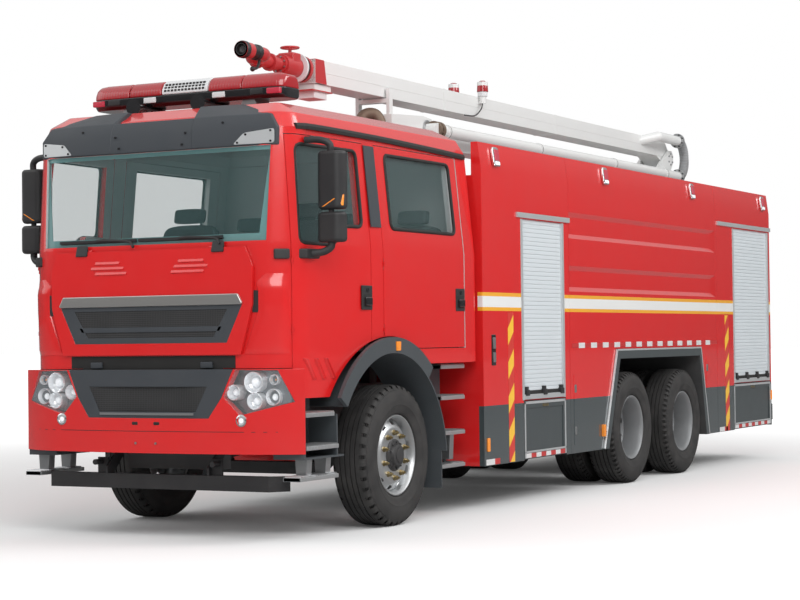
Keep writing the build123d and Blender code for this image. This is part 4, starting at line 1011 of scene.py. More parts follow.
@dataclass
class Studio:
    """The pale floor, the soft light and the camera at the photograph's angle."""

    eye: tuple[float, float, float] = (8.104, -13.0018, 1.3963)
    yaw: float = 28.0
    pitch: float = 1.1
    roll: float = -0.7
    focal_px: float = 1978.4
    image_px: float = 800.0
    sensor: float = 36.0
    reach: float = 160.0
    soft: float = 0.66
    horizon: float = 0.04
    zenith: float = 0.95
    pale: float = 0.9
    dimmed: float = 0.25
    near_glow: float = 0.03
    far_glow: float = 0.6
    glow_span: Range = (5.0, 17.0)
    sky_span: Range = (-0.02, 0.75)
    target: tuple[float, float, float] = (0.0, 0.0, 1.6)
    lamps: tuple[tuple[str, tuple[float, float, float], float, float], ...] = (
        ("key", (8.0, -13.0, 9.0), 8.0, 900.0),
        ("fill", (-10.0, -8.0, 7.0), 9.0, 200.0),
        ("side", (13.0, 2.0, 11.0), 7.0, 1000.0),
    )

    def build(self) -> None:
        """Makes the floor, the world, the lamps and the camera."""
        self.floor()
        self.world()
        for name, at, size, watts in self.lamps:
            self.lamp(name, at, size, watts)
        self.camera()
        bpy.context.scene.view_settings.view_transform = "Standard"

    def floor(self) -> None:
        """A wide pale floor that keeps the truck's shadow."""
        mesh = bpy.data.meshes.new("floor")
        bm = bmesh.new()
        bmesh.ops.create_grid(bm, x_segments=1, y_segments=1, size=self.reach)
        bm.to_mesh(mesh)
        bm.free()
        floor = bpy.data.objects.new("floor", mesh)
        bpy.context.scene.collection.objects.link(floor)
        graph = Graph("pale_floor")
        graph.shader.inputs["Roughness"].default_value = 0.9
        graph.shader.inputs["Emission Color"].default_value = (1.0, 1.0, 1.0, 1.0)
        path = graph.tree.nodes.new("ShaderNodeLightPath")
        tint = graph.blend(path.outputs["Is Glossy Ray"], (self.pale,) * 3, (self.dimmed,) * 3)
        graph.feed(graph.shader.inputs["Base Color"], tint)
        squares = [graph.maths("MULTIPLY", graph.coords[i], graph.coords[i]) for i in (0, 1)]
        away = graph.tree.nodes.new("ShaderNodeMapRange")
        away.interpolation_type = "SMOOTHSTEP"
        self.ramp(away, self.glow_span, (self.near_glow, self.far_glow))
        graph.feed(away.inputs["Value"], graph.maths("SQRT", graph.maths("ADD", *squares)))
        lift = graph.maths("MULTIPLY", path.outputs["Is Camera Ray"], away.outputs[0])
        graph.feed(graph.shader.inputs["Emission Strength"], lift)
        mesh.materials.append(graph.material)

    def ramp(self, node: bpy.types.Node, source: Range, result: Range) -> None:
        """Sets a Map Range node's input limits and the values at them."""
        for socket, value in zip(("From Min", "From Max", "To Min", "To Max"), (*source, *result)):
            node.inputs[socket].default_value = value

    def world(self) -> None:
        """A surround that shows plain white, lights softly and darkens to the horizon in reflections."""
        world = bpy.data.worlds.new("studio")
        world.use_nodes = True
        tree = world.node_tree
        ground = tree.nodes["Background"]
        ground.inputs["Color"].default_value = (1.0, 1.0, 1.0, 1.0)
        path = tree.nodes.new("ShaderNodeLightPath")
        way = tree.nodes.new("ShaderNodeSeparateXYZ")
        tree.links.new(tree.nodes.new("ShaderNodeTexCoord").outputs["Generated"], way.inputs[0])
        sky = tree.nodes.new("ShaderNodeMapRange")
        self.ramp(sky, self.sky_span, (self.horizon, self.zenith))
        tree.links.new(way.outputs[2], sky.inputs["Value"])
        mirrored = tree.nodes.new("ShaderNodeMix")
        mirrored.inputs["A"].default_value = self.soft
        tree.links.new(path.outputs["Is Glossy Ray"], mirrored.inputs["Factor"])
        tree.links.new(sky.outputs[0], mirrored.inputs["B"])
        strength = tree.nodes.new("ShaderNodeMath")
        strength.operation = "MAXIMUM"
        tree.links.new(path.outputs["Is Camera Ray"], strength.inputs[0])
        tree.links.new(mirrored.outputs[0], strength.inputs[1])
        tree.links.new(strength.outputs[0], ground.inputs["Strength"])
        bpy.context.scene.world = world

    def lamp(self, name: str, at: Point, size: float, watts: float) -> None:
        """A square soft lamp aimed at the truck's middle.

        Args:
            name: the lamp's name.
            at: its place.
            size: its side.
            watts: its power.
        """
        data = bpy.data.lights.new(name, "AREA")
        data.size = size
        data.energy = watts
        lamp = bpy.data.objects.new(name, data)
        lamp.location = at
        lamp.rotation_mode = "QUATERNION"
        lamp.rotation_quaternion = (Vector(self.target) - Vector(at)).to_track_quat("-Z", "Y")
        bpy.context.scene.collection.objects.link(lamp)

    def camera(self) -> None:
        """The camera at the photograph's place and angle."""
        data = bpy.data.cameras.new("camera")
        data.sensor_width = self.sensor
        data.lens = self.focal_px / self.image_px * self.sensor
        data.clip_end = self.reach * 2
        camera = bpy.data.objects.new("camera", data)
        upright = Matrix.Rotation(math.radians(90.0 + self.pitch), 4, "X")
        turned = Matrix.Rotation(math.radians(self.yaw), 4, "Z") @ upright
        turned = turned @ Matrix.Rotation(math.radians(self.roll), 4, "Z")
        camera.matrix_world = Matrix.Translation(Vector(self.eye) + AXLE) @ turned
        bpy.context.scene.collection.objects.link(camera)
        bpy.context.scene.camera = camera


@dataclass
class Wheels:
    """Tyres, rims and hubs of the six wheel ends."""

    radius: float = 0.525
    half: float = 0.156
    hub_z: float = 0.525
    bead: float = 0.2905
    front_x: float = 1.02
    outer_x: float = 1.09
    pitch: float = 0.351
    steps: int = 120
    nut_circle: float = 0.1675
    nuts: int = 10
    groove: float = 0.012
    shoulder: Range = (0.098, 0.134)
    shoulder_depth: float = 0.03
    notch: float = 0.009
    disc_wall: float = 0.01

    def tyre_half(self) -> list[Flat]:
        """One half of the tyre's section, from the crown to the bead.

        Returns:
            Points (distance from the middle, radius).
        """
        r = self.radius
        deep = r - self.groove
        points = [(0.0, r)]
        for at in (0.021, 0.061):
            points += [(at - 0.005, r), (at - 0.0035, deep), (at + 0.0035, deep), (at + 0.005, r)]
        wall = ((0.098, 0.002), (0.117, 0.007), (0.126, 0.016), (0.134, 0.032), (0.1355, 0.04),
                (0.1395, 0.042), (0.149, 0.065), (0.1545, 0.095), (self.half, 0.12), (0.154, 0.142),
                (0.156, 0.146), (0.1552, 0.152), (0.152, 0.156), (0.146, 0.182))
        foot = [(0.1405, 0.326), (0.1385, 0.322), (0.1345, 0.314), (0.12, 0.3065), (0.106, 0.305)]
        return points + [(at, r - drop) for at, drop in wall] + foot + [(0.106, self.bead)]

    def tyre(self, piece: Piece, x: float, y: float, lug_every: int) -> None:
        """Adds one tyre with ribs and shoulder notches.

        Args:
            piece: the piece that takes it.
            x: the tyre's middle plane.
            y: its axle.
            lug_every: how many facets a shoulder block and its notch take.
        """
        half = self.tyre_half()
        section = [(-s, r) for s, r in reversed(half)] + half[1:]
        old = set(piece.bm.faces)
        piece.lathe(section, (x, y, self.hub_z), Axis.X, self.steps)
        notched = []
        for face in piece.bm.faces:
            if face in old:
                continue
            middle, facet = self.facet(face, x, y, self.steps)
            near_crown = middle.yz.length > self.radius - self.shoulder_depth
            on_shoulder = self.shoulder[0] < abs(middle.x) < self.shoulder[1]
            if on_shoulder and near_crown and facet % lug_every == 0:
                notched.append(face)
        cut = bmesh.ops.extrude_discrete_faces(piece.bm, faces=notched)["faces"]
        for vert in {v for f in cut for v in f.verts}:
            inward = Vector((0.0, y - vert.co.y, self.hub_z - vert.co.z)).normalized()
            vert.co += inward * self.notch

    def facet(self, face: bmesh.types.BMFace, x: float, y: float, steps: int) -> tuple[Vector, int]:
        """A face's middle from the hub, and its number round a wheel of so many steps."""
        middle = face.calc_center_median() - Vector((x, y, self.hub_z))
        return middle, int((math.atan2(middle.y, middle.z) / math.tau + 1.0) * steps + 0.01)

    def turned(
        self, piece: Piece, section: Sequence[Flat], x: float, y: float, s: int, segments: int
    ) -> None:
        """Adds a turned part of a wheel to a piece; the section is (distance outward, radius)."""
        piece.lathe([(s * a, r) for a, r in section], (x, y, self.hub_z), Axis.X, segments)

    def barrel(self, piece: Piece, x: float, y: float) -> None:
        """Adds a rim's barrel with its two lips.

        Args:
            piece: the piece that takes it.
            x: the rim's middle plane.
            y: the axle.
        """
        section = [
            (-0.124, 0.302), (-0.108, 0.302), (-0.108, 0.2897), (0.108, 0.2897), (0.108, 0.302),
            (0.121, 0.3025), (0.1265, 0.299), (0.1265, 0.292), (0.12, 0.286), (0.108, 0.279),
            (0.09, 0.273), (0.04, 0.268), (-0.09, 0.27), (-0.124, 0.288),
        ]
        piece.lathe(section, (x, y, self.hub_z), Axis.X, 72)

    def disc(self, piece: Piece, section: Sequence[Flat], x: float, y: float, holes: Range) -> None:
        """Adds a pressed disc with a ring of hand holes.

        Args:
            piece: the piece that takes it.
            section: the disc's outer face, (distance outward, radius).
            x: where the distances start.
            y: the axle.
            holes: the radii between which the holes lie.
        """
        segments = self.nuts * 6
        old = set(piece.bm.faces)
        piece.lathe(section, (x, y, self.hub_z), Axis.X, segments, closed=False)
        fresh = [f for f in piece.bm.faces if f not in old]
        open_faces = []
        for face in fresh:
            middle, facet = self.facet(face, x, y, segments)
            if holes[0] < middle.yz.length < holes[1] and facet % 6 in (0, 1):
                open_faces.append(face)
        bmesh.ops.delete(piece.bm, geom=open_faces, context="FACES")
        wall = [f for f in fresh if f.is_valid]
        bmesh.ops.recalc_face_normals(piece.bm, faces=wall)
        bmesh.ops.solidify(piece.bm, geom=wall, thickness=self.disc_wall)

    def nut_ring(self, piece: Piece, x: float, y: float, sign: int) -> None:
        """Adds wheel nuts with their studs and washers.

        Args:
            piece: the piece that takes them.
            x: the face that they stand on.
            y: the axle.
            sign: the side's sign.
        """
        for radius, depth, sides in ((0.021, 0.008, 16), (0.0165, 0.03, 6), (0.0085, 0.044, 10)):
            piece.bolts((x, y, self.hub_z), Axis.X, self.nut_circle, self.nuts, radius, sign * depth, sides)
        piece.ink(BRASS)

    def front(self, side: Side) -> None:
        """A front wheel with a convex disc and an iron hub.

        Args:
            side: the side of the truck.
        """
        s = side.value
        x = s * self.front_x
        tread = Piece(f"front_tyre_{side.word}")
        self.tyre(tread, x, 0.0, 3)
        body = f"wheel_front_{side.word}"
        tread.ink(TYRE).close(body, f"tyre_front_{side.word}")
        rim = Piece(f"front_rim_{side.word}")
        self.barrel(rim, x, 0.0)
        out = 0.104
        face = [(0.05, 0.27), (0.064, 0.262), (0.088, 0.226), (0.098, 0.212), (out, 0.198), (out, 0.108)]
        self.disc(rim, [(s * a, r) for a, r in face], x, 0.0, (0.228, 0.262))
        rim.ink(RIM)
        self.nut_ring(rim, x + s * out, 0.0, s)
        cap = [(0.088, 0.052), (0.088, 0.12), (0.11, 0.12), (0.114, 0.112), (0.122, 0.108),
               (0.126, 0.088), (0.146, 0.08), (0.152, 0.066), (0.152, 0.052)]
        self.turned(rim, cap, x, 0.0, s, 48)
        rim.bolts((x + s * 0.12, 0.0, self.hub_z), Axis.X, 0.098, self.nuts, 0.0085, s * 0.014)
        lid = [(0.146, 0.0), (0.146, 0.056), (0.158, 0.054), (0.162, 0.04), (0.163, 0.0)]
        self.turned(rim, lid, x, 0.0, s, 40)
        rim.ink(HUB).close(body, f"rim_front_{side.word}")

    def twin(self, label: str, y: float, side: Side) -> None:
        """A pair of rear wheels with dished discs on one hub.

        Args:
            label: the axle's word in node names.
            y: the axle.
            side: the side of the truck.
        """
        s = side.value
        body = f"wheel_{label}_{side.word}"
        tread = Piece(f"{label}_tyres_{side.word}")
        rims = Piece(f"{label}_rims_{side.word}")
        for x in (self.outer_x, self.outer_x - self.pitch):
            self.tyre(tread, s * x, y, 2)
            self.barrel(rims, s * x, y)
        tread.ink(TYRE).close(body, f"tyres_{label}_{side.word}")
        mid = self.outer_x - self.pitch / 2
        out = 0.014
        face = [(0.112, 0.268), (0.098, 0.258), (0.04, 0.222), (0.024, 0.212), (out, 0.198), (out, 0.12)]
        for away in (s, -s):
            self.disc(rims, [(away * a, r) for a, r in face], s * mid, y, (0.225, 0.256))
        rims.ink(DULL_RIM)
        self.nut_ring(rims, s * (mid + out), y, s)
        hub = [(-0.01, 0.062), (-0.01, 0.125), (0.018, 0.13), (0.024, 0.098), (0.108, 0.095),
               (0.122, 0.084), (0.126, 0.0), (0.118, 0.0), (0.11, 0.062)]
        self.turned(rims, hub, s * mid, y, s, 40)
        rims.bolts((s * (mid + 0.11), y, self.hub_z), Axis.X, 0.074, 8, 0.009, s * 0.026)
        drum = [(-0.188, 0.178), (-0.188, 0.2), (-0.012, 0.2), (-0.012, 0.1), (-0.03, 0.1),
                (-0.03, 0.178)]
        self.turned(rims, drum, s * mid, y, s, 40)
        rims.ink(HUB).close(body, f"rims_{label}_{side.word}")

    def build(self) -> None:
        """Makes every wheel end."""
        for side in Side:
            self.front(side)
            for label in ("mid", "rear"):
                hub = next(j for j in frame["joints"] if j["name"] == f"spin_{label}_{side.word}")
                self.twin(label, hub["pos_m"][1] - AXLE.y, side)


@dataclass
class Cab:
    """The cab's shell with its glass, trim, roof gear and doors."""

    middle: tuple[float, float, float] = (0.0, -0.1, 2.05)
    facing: float = 0.3
    front_half: float = 1.196
    rear_half: float = 1.212
    taper_y: float = -0.25
    waist_z: float = 2.05
    lean: float = 0.1012
    glass_top: float = 2.76
    front_pane: tuple[Flat, ...] = (
        (-1.31, 2.062), (-0.93, 2.062), (-0.78, 2.2), (-0.555, 2.2), (-0.555, 2.745), (-1.31, 2.745),
    )
    rear_pane: tuple[Flat, ...] = ((-0.14, 2.205), (0.91, 2.205), (0.91, 2.75), (-0.14, 2.75))
    visor_rows: tuple[tuple[float, float, float, float], ...] = (
        (2.736, 1.01, -1.492, -1.425), (2.86, 1.01, -1.492, -1.425), (2.955, 0.948, -1.452, -1.4),
        (3.05, 0.64, -1.32, -1.27),
    )
    visor_turn: float = 0.33
    visor_dip: float = 0.345
    sill_z: float = 1.69
    corner_x: float = 0.75
    corner_y: float = -1.15

    def build(self) -> None:
        """Dresses the shell and adds what stands on it."""
        self.shell()
        self.wipers()
        self.visor()
        self.light_bar()
        for side in Side:
            self.door(side, "front", self.front_pane, (-1.33, -0.54, 2.05), -0.52)
            self.door(side, "rear", self.rear_pane, (-0.15, 0.92, 2.19), 0.965)
            self.mirror(side)
            self.side_trim(side)
            self.deflector(side)

    def shell(self) -> None:
        """Roof, front with the windscreen, back and side frames."""
        front = self.lined("cab_front", 0.004)
        front.zone(SCREEN, (-1.05, -1.6, 2.04), (1.05, -1.35, self.glass_top))
        front.close("chassis", "cab_front")
        for node in ("cab_roof", "cab_back", "cab_side_left", "cab_side_right"):
            self.lined(node, 0.006).close("chassis", node)

    def lined(self, node: str, soft: float) -> Piece:
        """A painted shell node whose faces towards the cab's inside have a pale lining.

        Args:
            node: the node's name.
            soft: rounding of its sharp edges.

        Returns:
            The shell, under construction.
        """
        piece = skin(node, PAINT, soft)
        piece.bm.normal_update()
        number = piece.mark(LINING)
        for face in piece.bm.faces:
            inward = (Vector(self.middle) - face.calc_center_median()).normalized()
            if face.normal.dot(inward) > self.facing:
                face[piece.layer] = number
        return piece

    def wipers(self) -> None:
        """Two arms with blades that lie along the foot of the windscreen, and their spindle covers."""
        piece = Piece("wipers")
        cover = ((-1.545, 2.006), (-1.505, 2.006), (-1.52, 2.09))
        blade = ((-0.004, -0.01), (-0.024, -0.004), (-0.024, 0.014), (-0.01, 0.016))
        for x, inner, outer in ((-0.581, -0.13, -0.8), (0.581, 0.6, -0.11)):
            piece.hull([(x + a, y, z) for a in (-0.05, 0.05) for y, z in cover], 0.008)
            pivot, middle = max(inner, x), (inner + outer) / 2
            reach = [(pivot, 2.062), (pivot - 0.06, 2.105), (pivot - 0.26, 2.118), (middle, 2.116)]
            arm = [(a, front_y("cab_front", a, z) - 0.03, z) for a, z in reach]
            piece.tube(curve_through(arm), 0.01, 8)
            ends = [(a, front_y("cab_front", a, 2.105), 2.108) for a in (inner, middle, outer)]
            for pair in zip(ends, ends[1:]):
                piece.hull([(a, y + d, z + h) for a, y, z in pair for d, h in blade])
        piece.ink(BLACK).close("chassis")

    def visor(self) -> None:
        """The dark visor over the windscreen, low in the middle, with its silver end panels and rivets."""
        piece = Piece("visor_skin")
        dip, turn = self.visor_dip, self.visor_turn
        rows = [(*row, -1.33 if row[0] < 2.8 else -1.15) for row in self.visor_rows]
        for s in (1, -1):
            piece.hull([(s * x, y, z) for z, half, nose, end, back in rows for x, y in
                        ((half, end), (half - turn, nose), (dip, nose), (dip, back), (half, back))],
                       0.008, 3)
        piece.hull([(s * (dip + 0.002), y, z) for s in (1, -1) for z, _, nose, _, back in rows[:3]
                    for y in (nose, back)], 0.006)
        piece.ink(TRIM).close("chassis", "visor")
        _, half, nose, end = self.visor_rows[0]
        shoulder, slope = half - turn, (end - nose) / turn
        piece = Piece("visor_panels")
        panel = rounded_loop([(0.69, 2.744), (0.99, 2.748), (0.99, 2.85), (0.77, 2.824)], 0.02, 3)
        for s in (1, -1):
            piece.hull([(s * x, nose + slope * (x - shoulder) + d, z) for x, z in panel
                        for d in (-0.006, 0.004)], 0.002)
        piece.ink(ALU)
        rivets = ((0.725, 2.757), (0.965, 2.762), (0.965, 2.834), (0.785, 2.812), (0.3, 2.85), (0.27, 2.77))
        for s in (1, -1):
            for x, z in rivets:
                at = nose + slope * max(0.0, x - shoulder)
                piece.rod((s * x, at - 0.011, z), (s * x, at + 0.01, z), 0.008, segments=10)
            piece.rod((s * 0.6, nose + 0.01, 2.905), (s * 0.6, nose + 0.04, 2.905), 0.008, segments=10)
        piece.ink(GLOSS_BLACK).close("chassis")

    def light_bar(self) -> None:
        """The warning bar: dark base, red domes, pale louvred middle and feet."""
        piece = Piece("warning_bar")
        y, half, low, mid, top = -0.915, 0.833, 3.115, 3.192, 3.3
        base = [(-0.15, low + 0.022), (-0.115, low), (0.115, low), (0.15, low + 0.022), (0.152, mid),
                (-0.152, mid)]
        dome = [(-0.15, mid), (0.15, mid), (0.146, mid + 0.04), (0.118, mid + 0.085), (0.08, top),
                (-0.08, top), (-0.118, mid + 0.085), (-0.146, mid + 0.04)]
        ends = ((half - 0.115, 1.0), (half - 0.05, 0.92), (half - 0.012, 0.72), (half, 0.48))
        piece.hull([(s * x, y + a * w, b) for s in (1, -1) for x, w in ends for a, b in base], 0.008, 3)
        piece.ink(GLOSS_BLACK)
        for s in (1, -1):
            piece.hull([(s * x, y + a * w, mid + (b - mid) * (0.45 + 0.55 * w))
                        for x, w in ((0.49, 1.0), *ends) for a, b in dome], 0.01, 3)
            piece.hull([(s * x, y + a, b) for x in (0.205, 0.485) for a, b in dome], 0.012, 3)
        piece.ink(RED_LENS)
        piece.hull([(x, y + a, b + 0.002) for x in (-0.2, 0.2) for a, b in dome], 0.012, 3).ink(WHITE_SHELL)
        for row in range(3):
            for k in range(12):
                x = -0.165 + k * 0.03
                z = mid + 0.03 + row * 0.022
                out = y - 0.151 + max(0.0, row - 0.4) * 0.012
                piece.box((x - 0.009, out - 0.001, z - 0.007), (x + 0.009, out + 0.03, z + 0.007), 0.0)
        piece.ink(BLACK)
        for s in (1, -1):
            for x, finish in ((0.3, WHITE_SHELL), (0.62, BLACK), (0.76, CLEAR_RED)):
                inner, outer = s * (x - 0.055), s * (x + 0.055)
                piece.box((inner, y - 0.158, low + 0.026), (outer, y - 0.12, mid - 0.008), 0.008).ink(finish)
            foot = [(s * 0.44, 3.04), (s * 0.6, 3.04), (s * 0.57, low + 0.01), (s * 0.47, low + 0.01)]
            piece.plate(foot, Axis.Y, y - 0.1, 0.2, 0.006).ink(STEEL)
        piece.close("chassis", "light_bar")
        horns = Piece("air_horns")
        places = (-0.34, 0.22)
        bell = [(-0.2, 0.0), (-0.2, 0.062), (-0.15, 0.034), (0.0, 0.02), (0.2, 0.016), (0.2, 0.0)]
        for x in places:
            horns.lathe(bell, (x, -1.02, 3.098), Axis.Y, 28, closed=False)
        horns.ink(GLOSS_BLACK)
        for x in places:
            for clip_y in (-1.06, -0.86):
                horns.box((x - 0.02, clip_y, 3.045), (x + 0.02, clip_y + 0.04, 3.085), 0.003)
        horns.ink(STEEL).close("chassis")

    def wall_x(self, z: float) -> float:
        """The outer half width of the cab's wall behind its taper at one height."""
        return self.rear_half - max(0.0, z - self.waist_z) * self.lean

    def door(self, side: Side, key: str, pane: Sequence[Flat], glass: Point, grip_y: float) -> None:
        """A door with its pane, seal and handle, and the pressed vents of a front one.

        Args:
            side: the side of the truck.
            key: the door's word in node names.
            pane: the pane's corners, as (y, z).
            glass: the glass's front, rear and foot, with a little room.
            grip_y: the handle's place.
        """
        s = side.value
        node = f"door_{key}_{side.word}"
        leaf = self.lined(node, 0.004)
        leaf.zone(PANE, (-FAR, glass[0], glass[2]), (FAR, glass[1], self.glass_top))
        leaf.close(body_of(node), node)
        extra = Piece(f"{node}_fittings")
        self.handle(extra, s, grip_y, self.sill_z)
        for k in range(3 if key == "front" else 0):
            spots = [(-1.31 + k * 0.118 + a + c * 0.1, 1.262 - c * 0.145, d) for c in (0.0, 1.0)
                     for a, d in ((0.0, -0.004), (0.075, -0.004), (0.014, 0.016))]
            extra.hull([(side_x(node, y, z, s) + s * d, y, z) for y, z, d in spots], 0.004)
        extra.ink(PAINT)
        self.seal(extra, node, pane, s)
        extra.close(body_of(node))

    def seal(self, piece: Piece, node: str, pane: Sequence[Flat], s: int) -> None:
        """Adds the rubber round a door's pane.

        Args:
            piece: the piece that takes it.
            node: the door's node, on which the rubber lies.
            pane: the pane's corners, as (y, z).
            s: the side's sign.
        """
        middle = Vector((sum(y for y, _ in pane), sum(z for _, z in pane))) / len(pane)
        path = []
        for y, z in rounded_loop(pane, 0.055):
            away = (Vector((y, z)) - middle).normalized()
            x = side_x(node, y + away.x * 0.03, z + away.y * 0.03, s)
            path.append((x, y + away.x * 0.004, z + away.y * 0.004))
        steps = len(path) // len(pane)
        for i, (y, z) in enumerate(pane):
            arc = path[i * steps:(i + 1) * steps]
            tip = (side_x(node, y + (y - middle.x) * 0.05, z + (z - middle.y) * 0.05, s), y, z)
            for a, b in zip(arc, arc[1:]):
                piece.hull([(x - s * d, v, w) for x, v, w in (a, b, tip) for d in (0.001, 0.01)])
        piece.ink(PAINT)
        piece.tube([*path, path[0], path[1]], 0.013, 10).ink(SEAL)

    def handle(self, piece: Piece, s: int, y: float, z: float) -> None:
        """Adds a black handle in its cup.

        Args:
            piece: the piece that takes it.
            s: the side's sign.
            y: the cup's middle.
            z: the cup's middle height.
        """
        x = self.front_half if y < self.taper_y else self.rear_half
        piece.box((s * (x - 0.006), y - 0.076, z - 0.088), (s * (x + 0.007), y + 0.076, z + 0.088), 0.006, 3)
        piece.ink(BLACK)
        piece.box((s * (x + 0.004), y - 0.056, z - 0.066), (s * (x + 0.009), y + 0.056, z + 0.03), 0.002)
        piece.ink(SEAL)
        piece.box((s * (x + 0.006), y - 0.048, z - 0.058), (s * (x + 0.027), y + 0.048, z + 0.004), 0.009, 3)
        piece.rod((s * x, y, z + 0.056), (s * (x + 0.012), y, z + 0.056), 0.018, segments=20, soft=0.002)
        piece.ink(GLOSS_BLACK)

    def mirror(self, side: Side) -> None:
        """The main and wide mirrors on their arms, with an orange repeater.

        Args:
            side: the side of the truck.
        """
        s = side.value
        piece = Piece(f"mirror_{side.word}_shell")
        shells = ((2.29, 2.695, -1.23, -1.12), (2.062, 2.272, -1.235, -1.128))
        for low, high, front, back in shells:
            plan = ((1.186, back), (1.396, back), (1.396, front + 0.05), (1.36, front), (1.216, front),
                    (1.186, front + 0.05))
            piece.hull([(s * x, y, z) for z in (low, high) for x, y in plan], 0.026, 5)
        piece.ink(BLACK)
        lens = ((1.24, -1.234, -1.2, 2.306), (1.39, -1.196, -1.16, 2.312), (1.34, -1.234, -1.2, 2.362),
                (1.392, -1.186, -1.16, 2.392))
        piece.hull([(s * row[0], row[k], row[3]) for k in (1, 2) for row in lens], 0.005).ink(AMBER)
        for low, high, _, back in shells:
            piece.box((s * 1.204, back - 0.004, low + 0.022), (s * 1.378, back + 0.004, high - 0.022), 0.003)
        piece.ink(MIRROR)
        piece.rod((s * 1.29, -1.178, 2.262), (s * 1.29, -1.178, 2.3), 0.02)
        low_arm = ((1.29, -1.18, 2.07), (1.286, -1.182, 2.03), (1.24, -1.205, 1.998), (1.165, -1.236, 1.985))
        high_arm = ((1.29, -1.18, 2.68), (1.284, -1.184, 2.742), (1.22, -1.205, 2.772),
                    (1.115, -1.232, 2.776))
        for arm, radius in ((low_arm, 0.026), (high_arm, 0.024)):
            piece.tube(curve_through([(s * x, y, z) for x, y, z in arm]), radius, 14)
        foot = ((1.1, -1.33), (1.165, -1.3), (1.188, -1.16), (1.1, -1.16))
        piece.hull([(s * x, y, z) for z in (1.952, 2.02) for x, y in foot], 0.01, 3)
        piece.ink(BLACK).close(body_of(f"mirror_{side.word}"), f"mirror_{side.word}")

    def corner(self, s: int, turn: float, z: float, out: float) -> Vector:
        """A point over the cab's rounded front corner.

        Args:
            s: the side's sign.
            turn: the angle from straight ahead, in degrees.
            z: its height.
            out: how far it stands off the surface.

        Returns:
            The point.
        """
        way = Vector((s * math.sin(math.radians(turn)), -math.cos(math.radians(turn)), 0.0))
        hub = Vector((s * self.corner_x, self.corner_y, z))
        spot = tree_of("cab_front").ray_cast(hub + way * 2.0, -way)[0]
        return spot + way * out

    def deflector(self, side: Side) -> None:
        """The air deflector on a front corner, with its slot and the mirror's foot above it.

        Args:
            side: the side of the truck.
        """
        s = side.value
        piece = Piece(f"corner_deflector_{side.word}")
        rows = ((1.3, 4.0, 0.004), (1.34, 7.0, 0.016), (1.56, 20.0, 0.018), (1.6, 22.0, 0.02),
                (1.74, 22.0, 0.022), (1.775, 20.0, 0.018), (1.8, 21.0, 0.01), (1.85, 30.0, 0.003))
        end, count, last = 53.0, 12, len(rows) - 1
        grid = []
        for z, start, out in rows:
            line = []
            for k in range(count + 1):
                t = k / count
                lift = out * min(1.0, (1.0 - t) * 5.0) * (0.55 + 0.45 * min(1.0, t * 6.0))
                line.append(self.corner(s, start + (end - start) * t, z, lift))
            grid.append(line)
        bm = piece.bm
        outer = [[bm.verts.new(p) for p in row] for row in grid]
        inner = [[bm.verts.new(p - Vector((s, -1.0, 0.0)) * 0.012) for p in row] for row in grid]
        for face in (outer, inner):
            for a, b in zip(face, face[1:]):
                for k in range(count):
                    bm.faces.new((a[k], a[k + 1], b[k + 1], b[k]))
        rim = [(0, k) for k in range(count)] + [(i, count) for i in range(last)]
        rim += [(last, k) for k in range(count, 0, -1)] + [(i, 0) for i in range(last, 0, -1)]
        for (i, k), (m, n) in zip(rim, rim[1:] + rim[:1]):
            bm.faces.new((outer[i][k], outer[m][n], inner[m][n], inner[i][k]))
        piece.ink(PAINT)
        slot = ((1.585, 1.735), (15.0, 24.0), (-0.01, 0.01))
        foot = ((1.948, 2.018), (38.0, end), (-0.01, 0.03))
        for (heights, turns, outs), soft, segments in ((slot, 0.003, 2), (foot, 0.01, 3)):
            spots = [self.corner(s, turn, z, out) for z in heights for turn in turns for out in outs]
            piece.hull(spots, soft, segments)
        piece.ink(BLACK).close("chassis", smooth=40.0)

    def side_trim(self, side: Side) -> None:
        """The drip rail over the doors and the dark panel between the windows.

        Args:
            side: the side of the truck.
        """
        s = side.value
        piece = Piece(f"cab_trim_{side.word}")
        run = ((1.082, -1.3, 2.872), (1.118, -1.1, 2.875), (1.14, -0.25, 2.868), (1.143, 0.6, 2.852),
               (1.143, 1.2, 2.836))
        section = ((-0.03, -0.022), (0.01, -0.022), (0.014, 0.0), (0.004, 0.02), (-0.03, 0.02))
        path = curve_through([(s * x, y, z) for x, y, z in run], 4)
        for pair in zip(path, path[1:]):
            piece.hull([p + Vector((s * dx, 0.0, dz)) for p in pair for dx, dz in section])
        piece.ink(SEAL)
        piece.hull([(s * (self.wall_x(z) + d), y, z) for z in (2.205, 2.8) for d in (-0.004, 0.005)
                    for y in (-0.446, -0.294)], 0.002)
        piece.ink(TRIM).close("chassis")


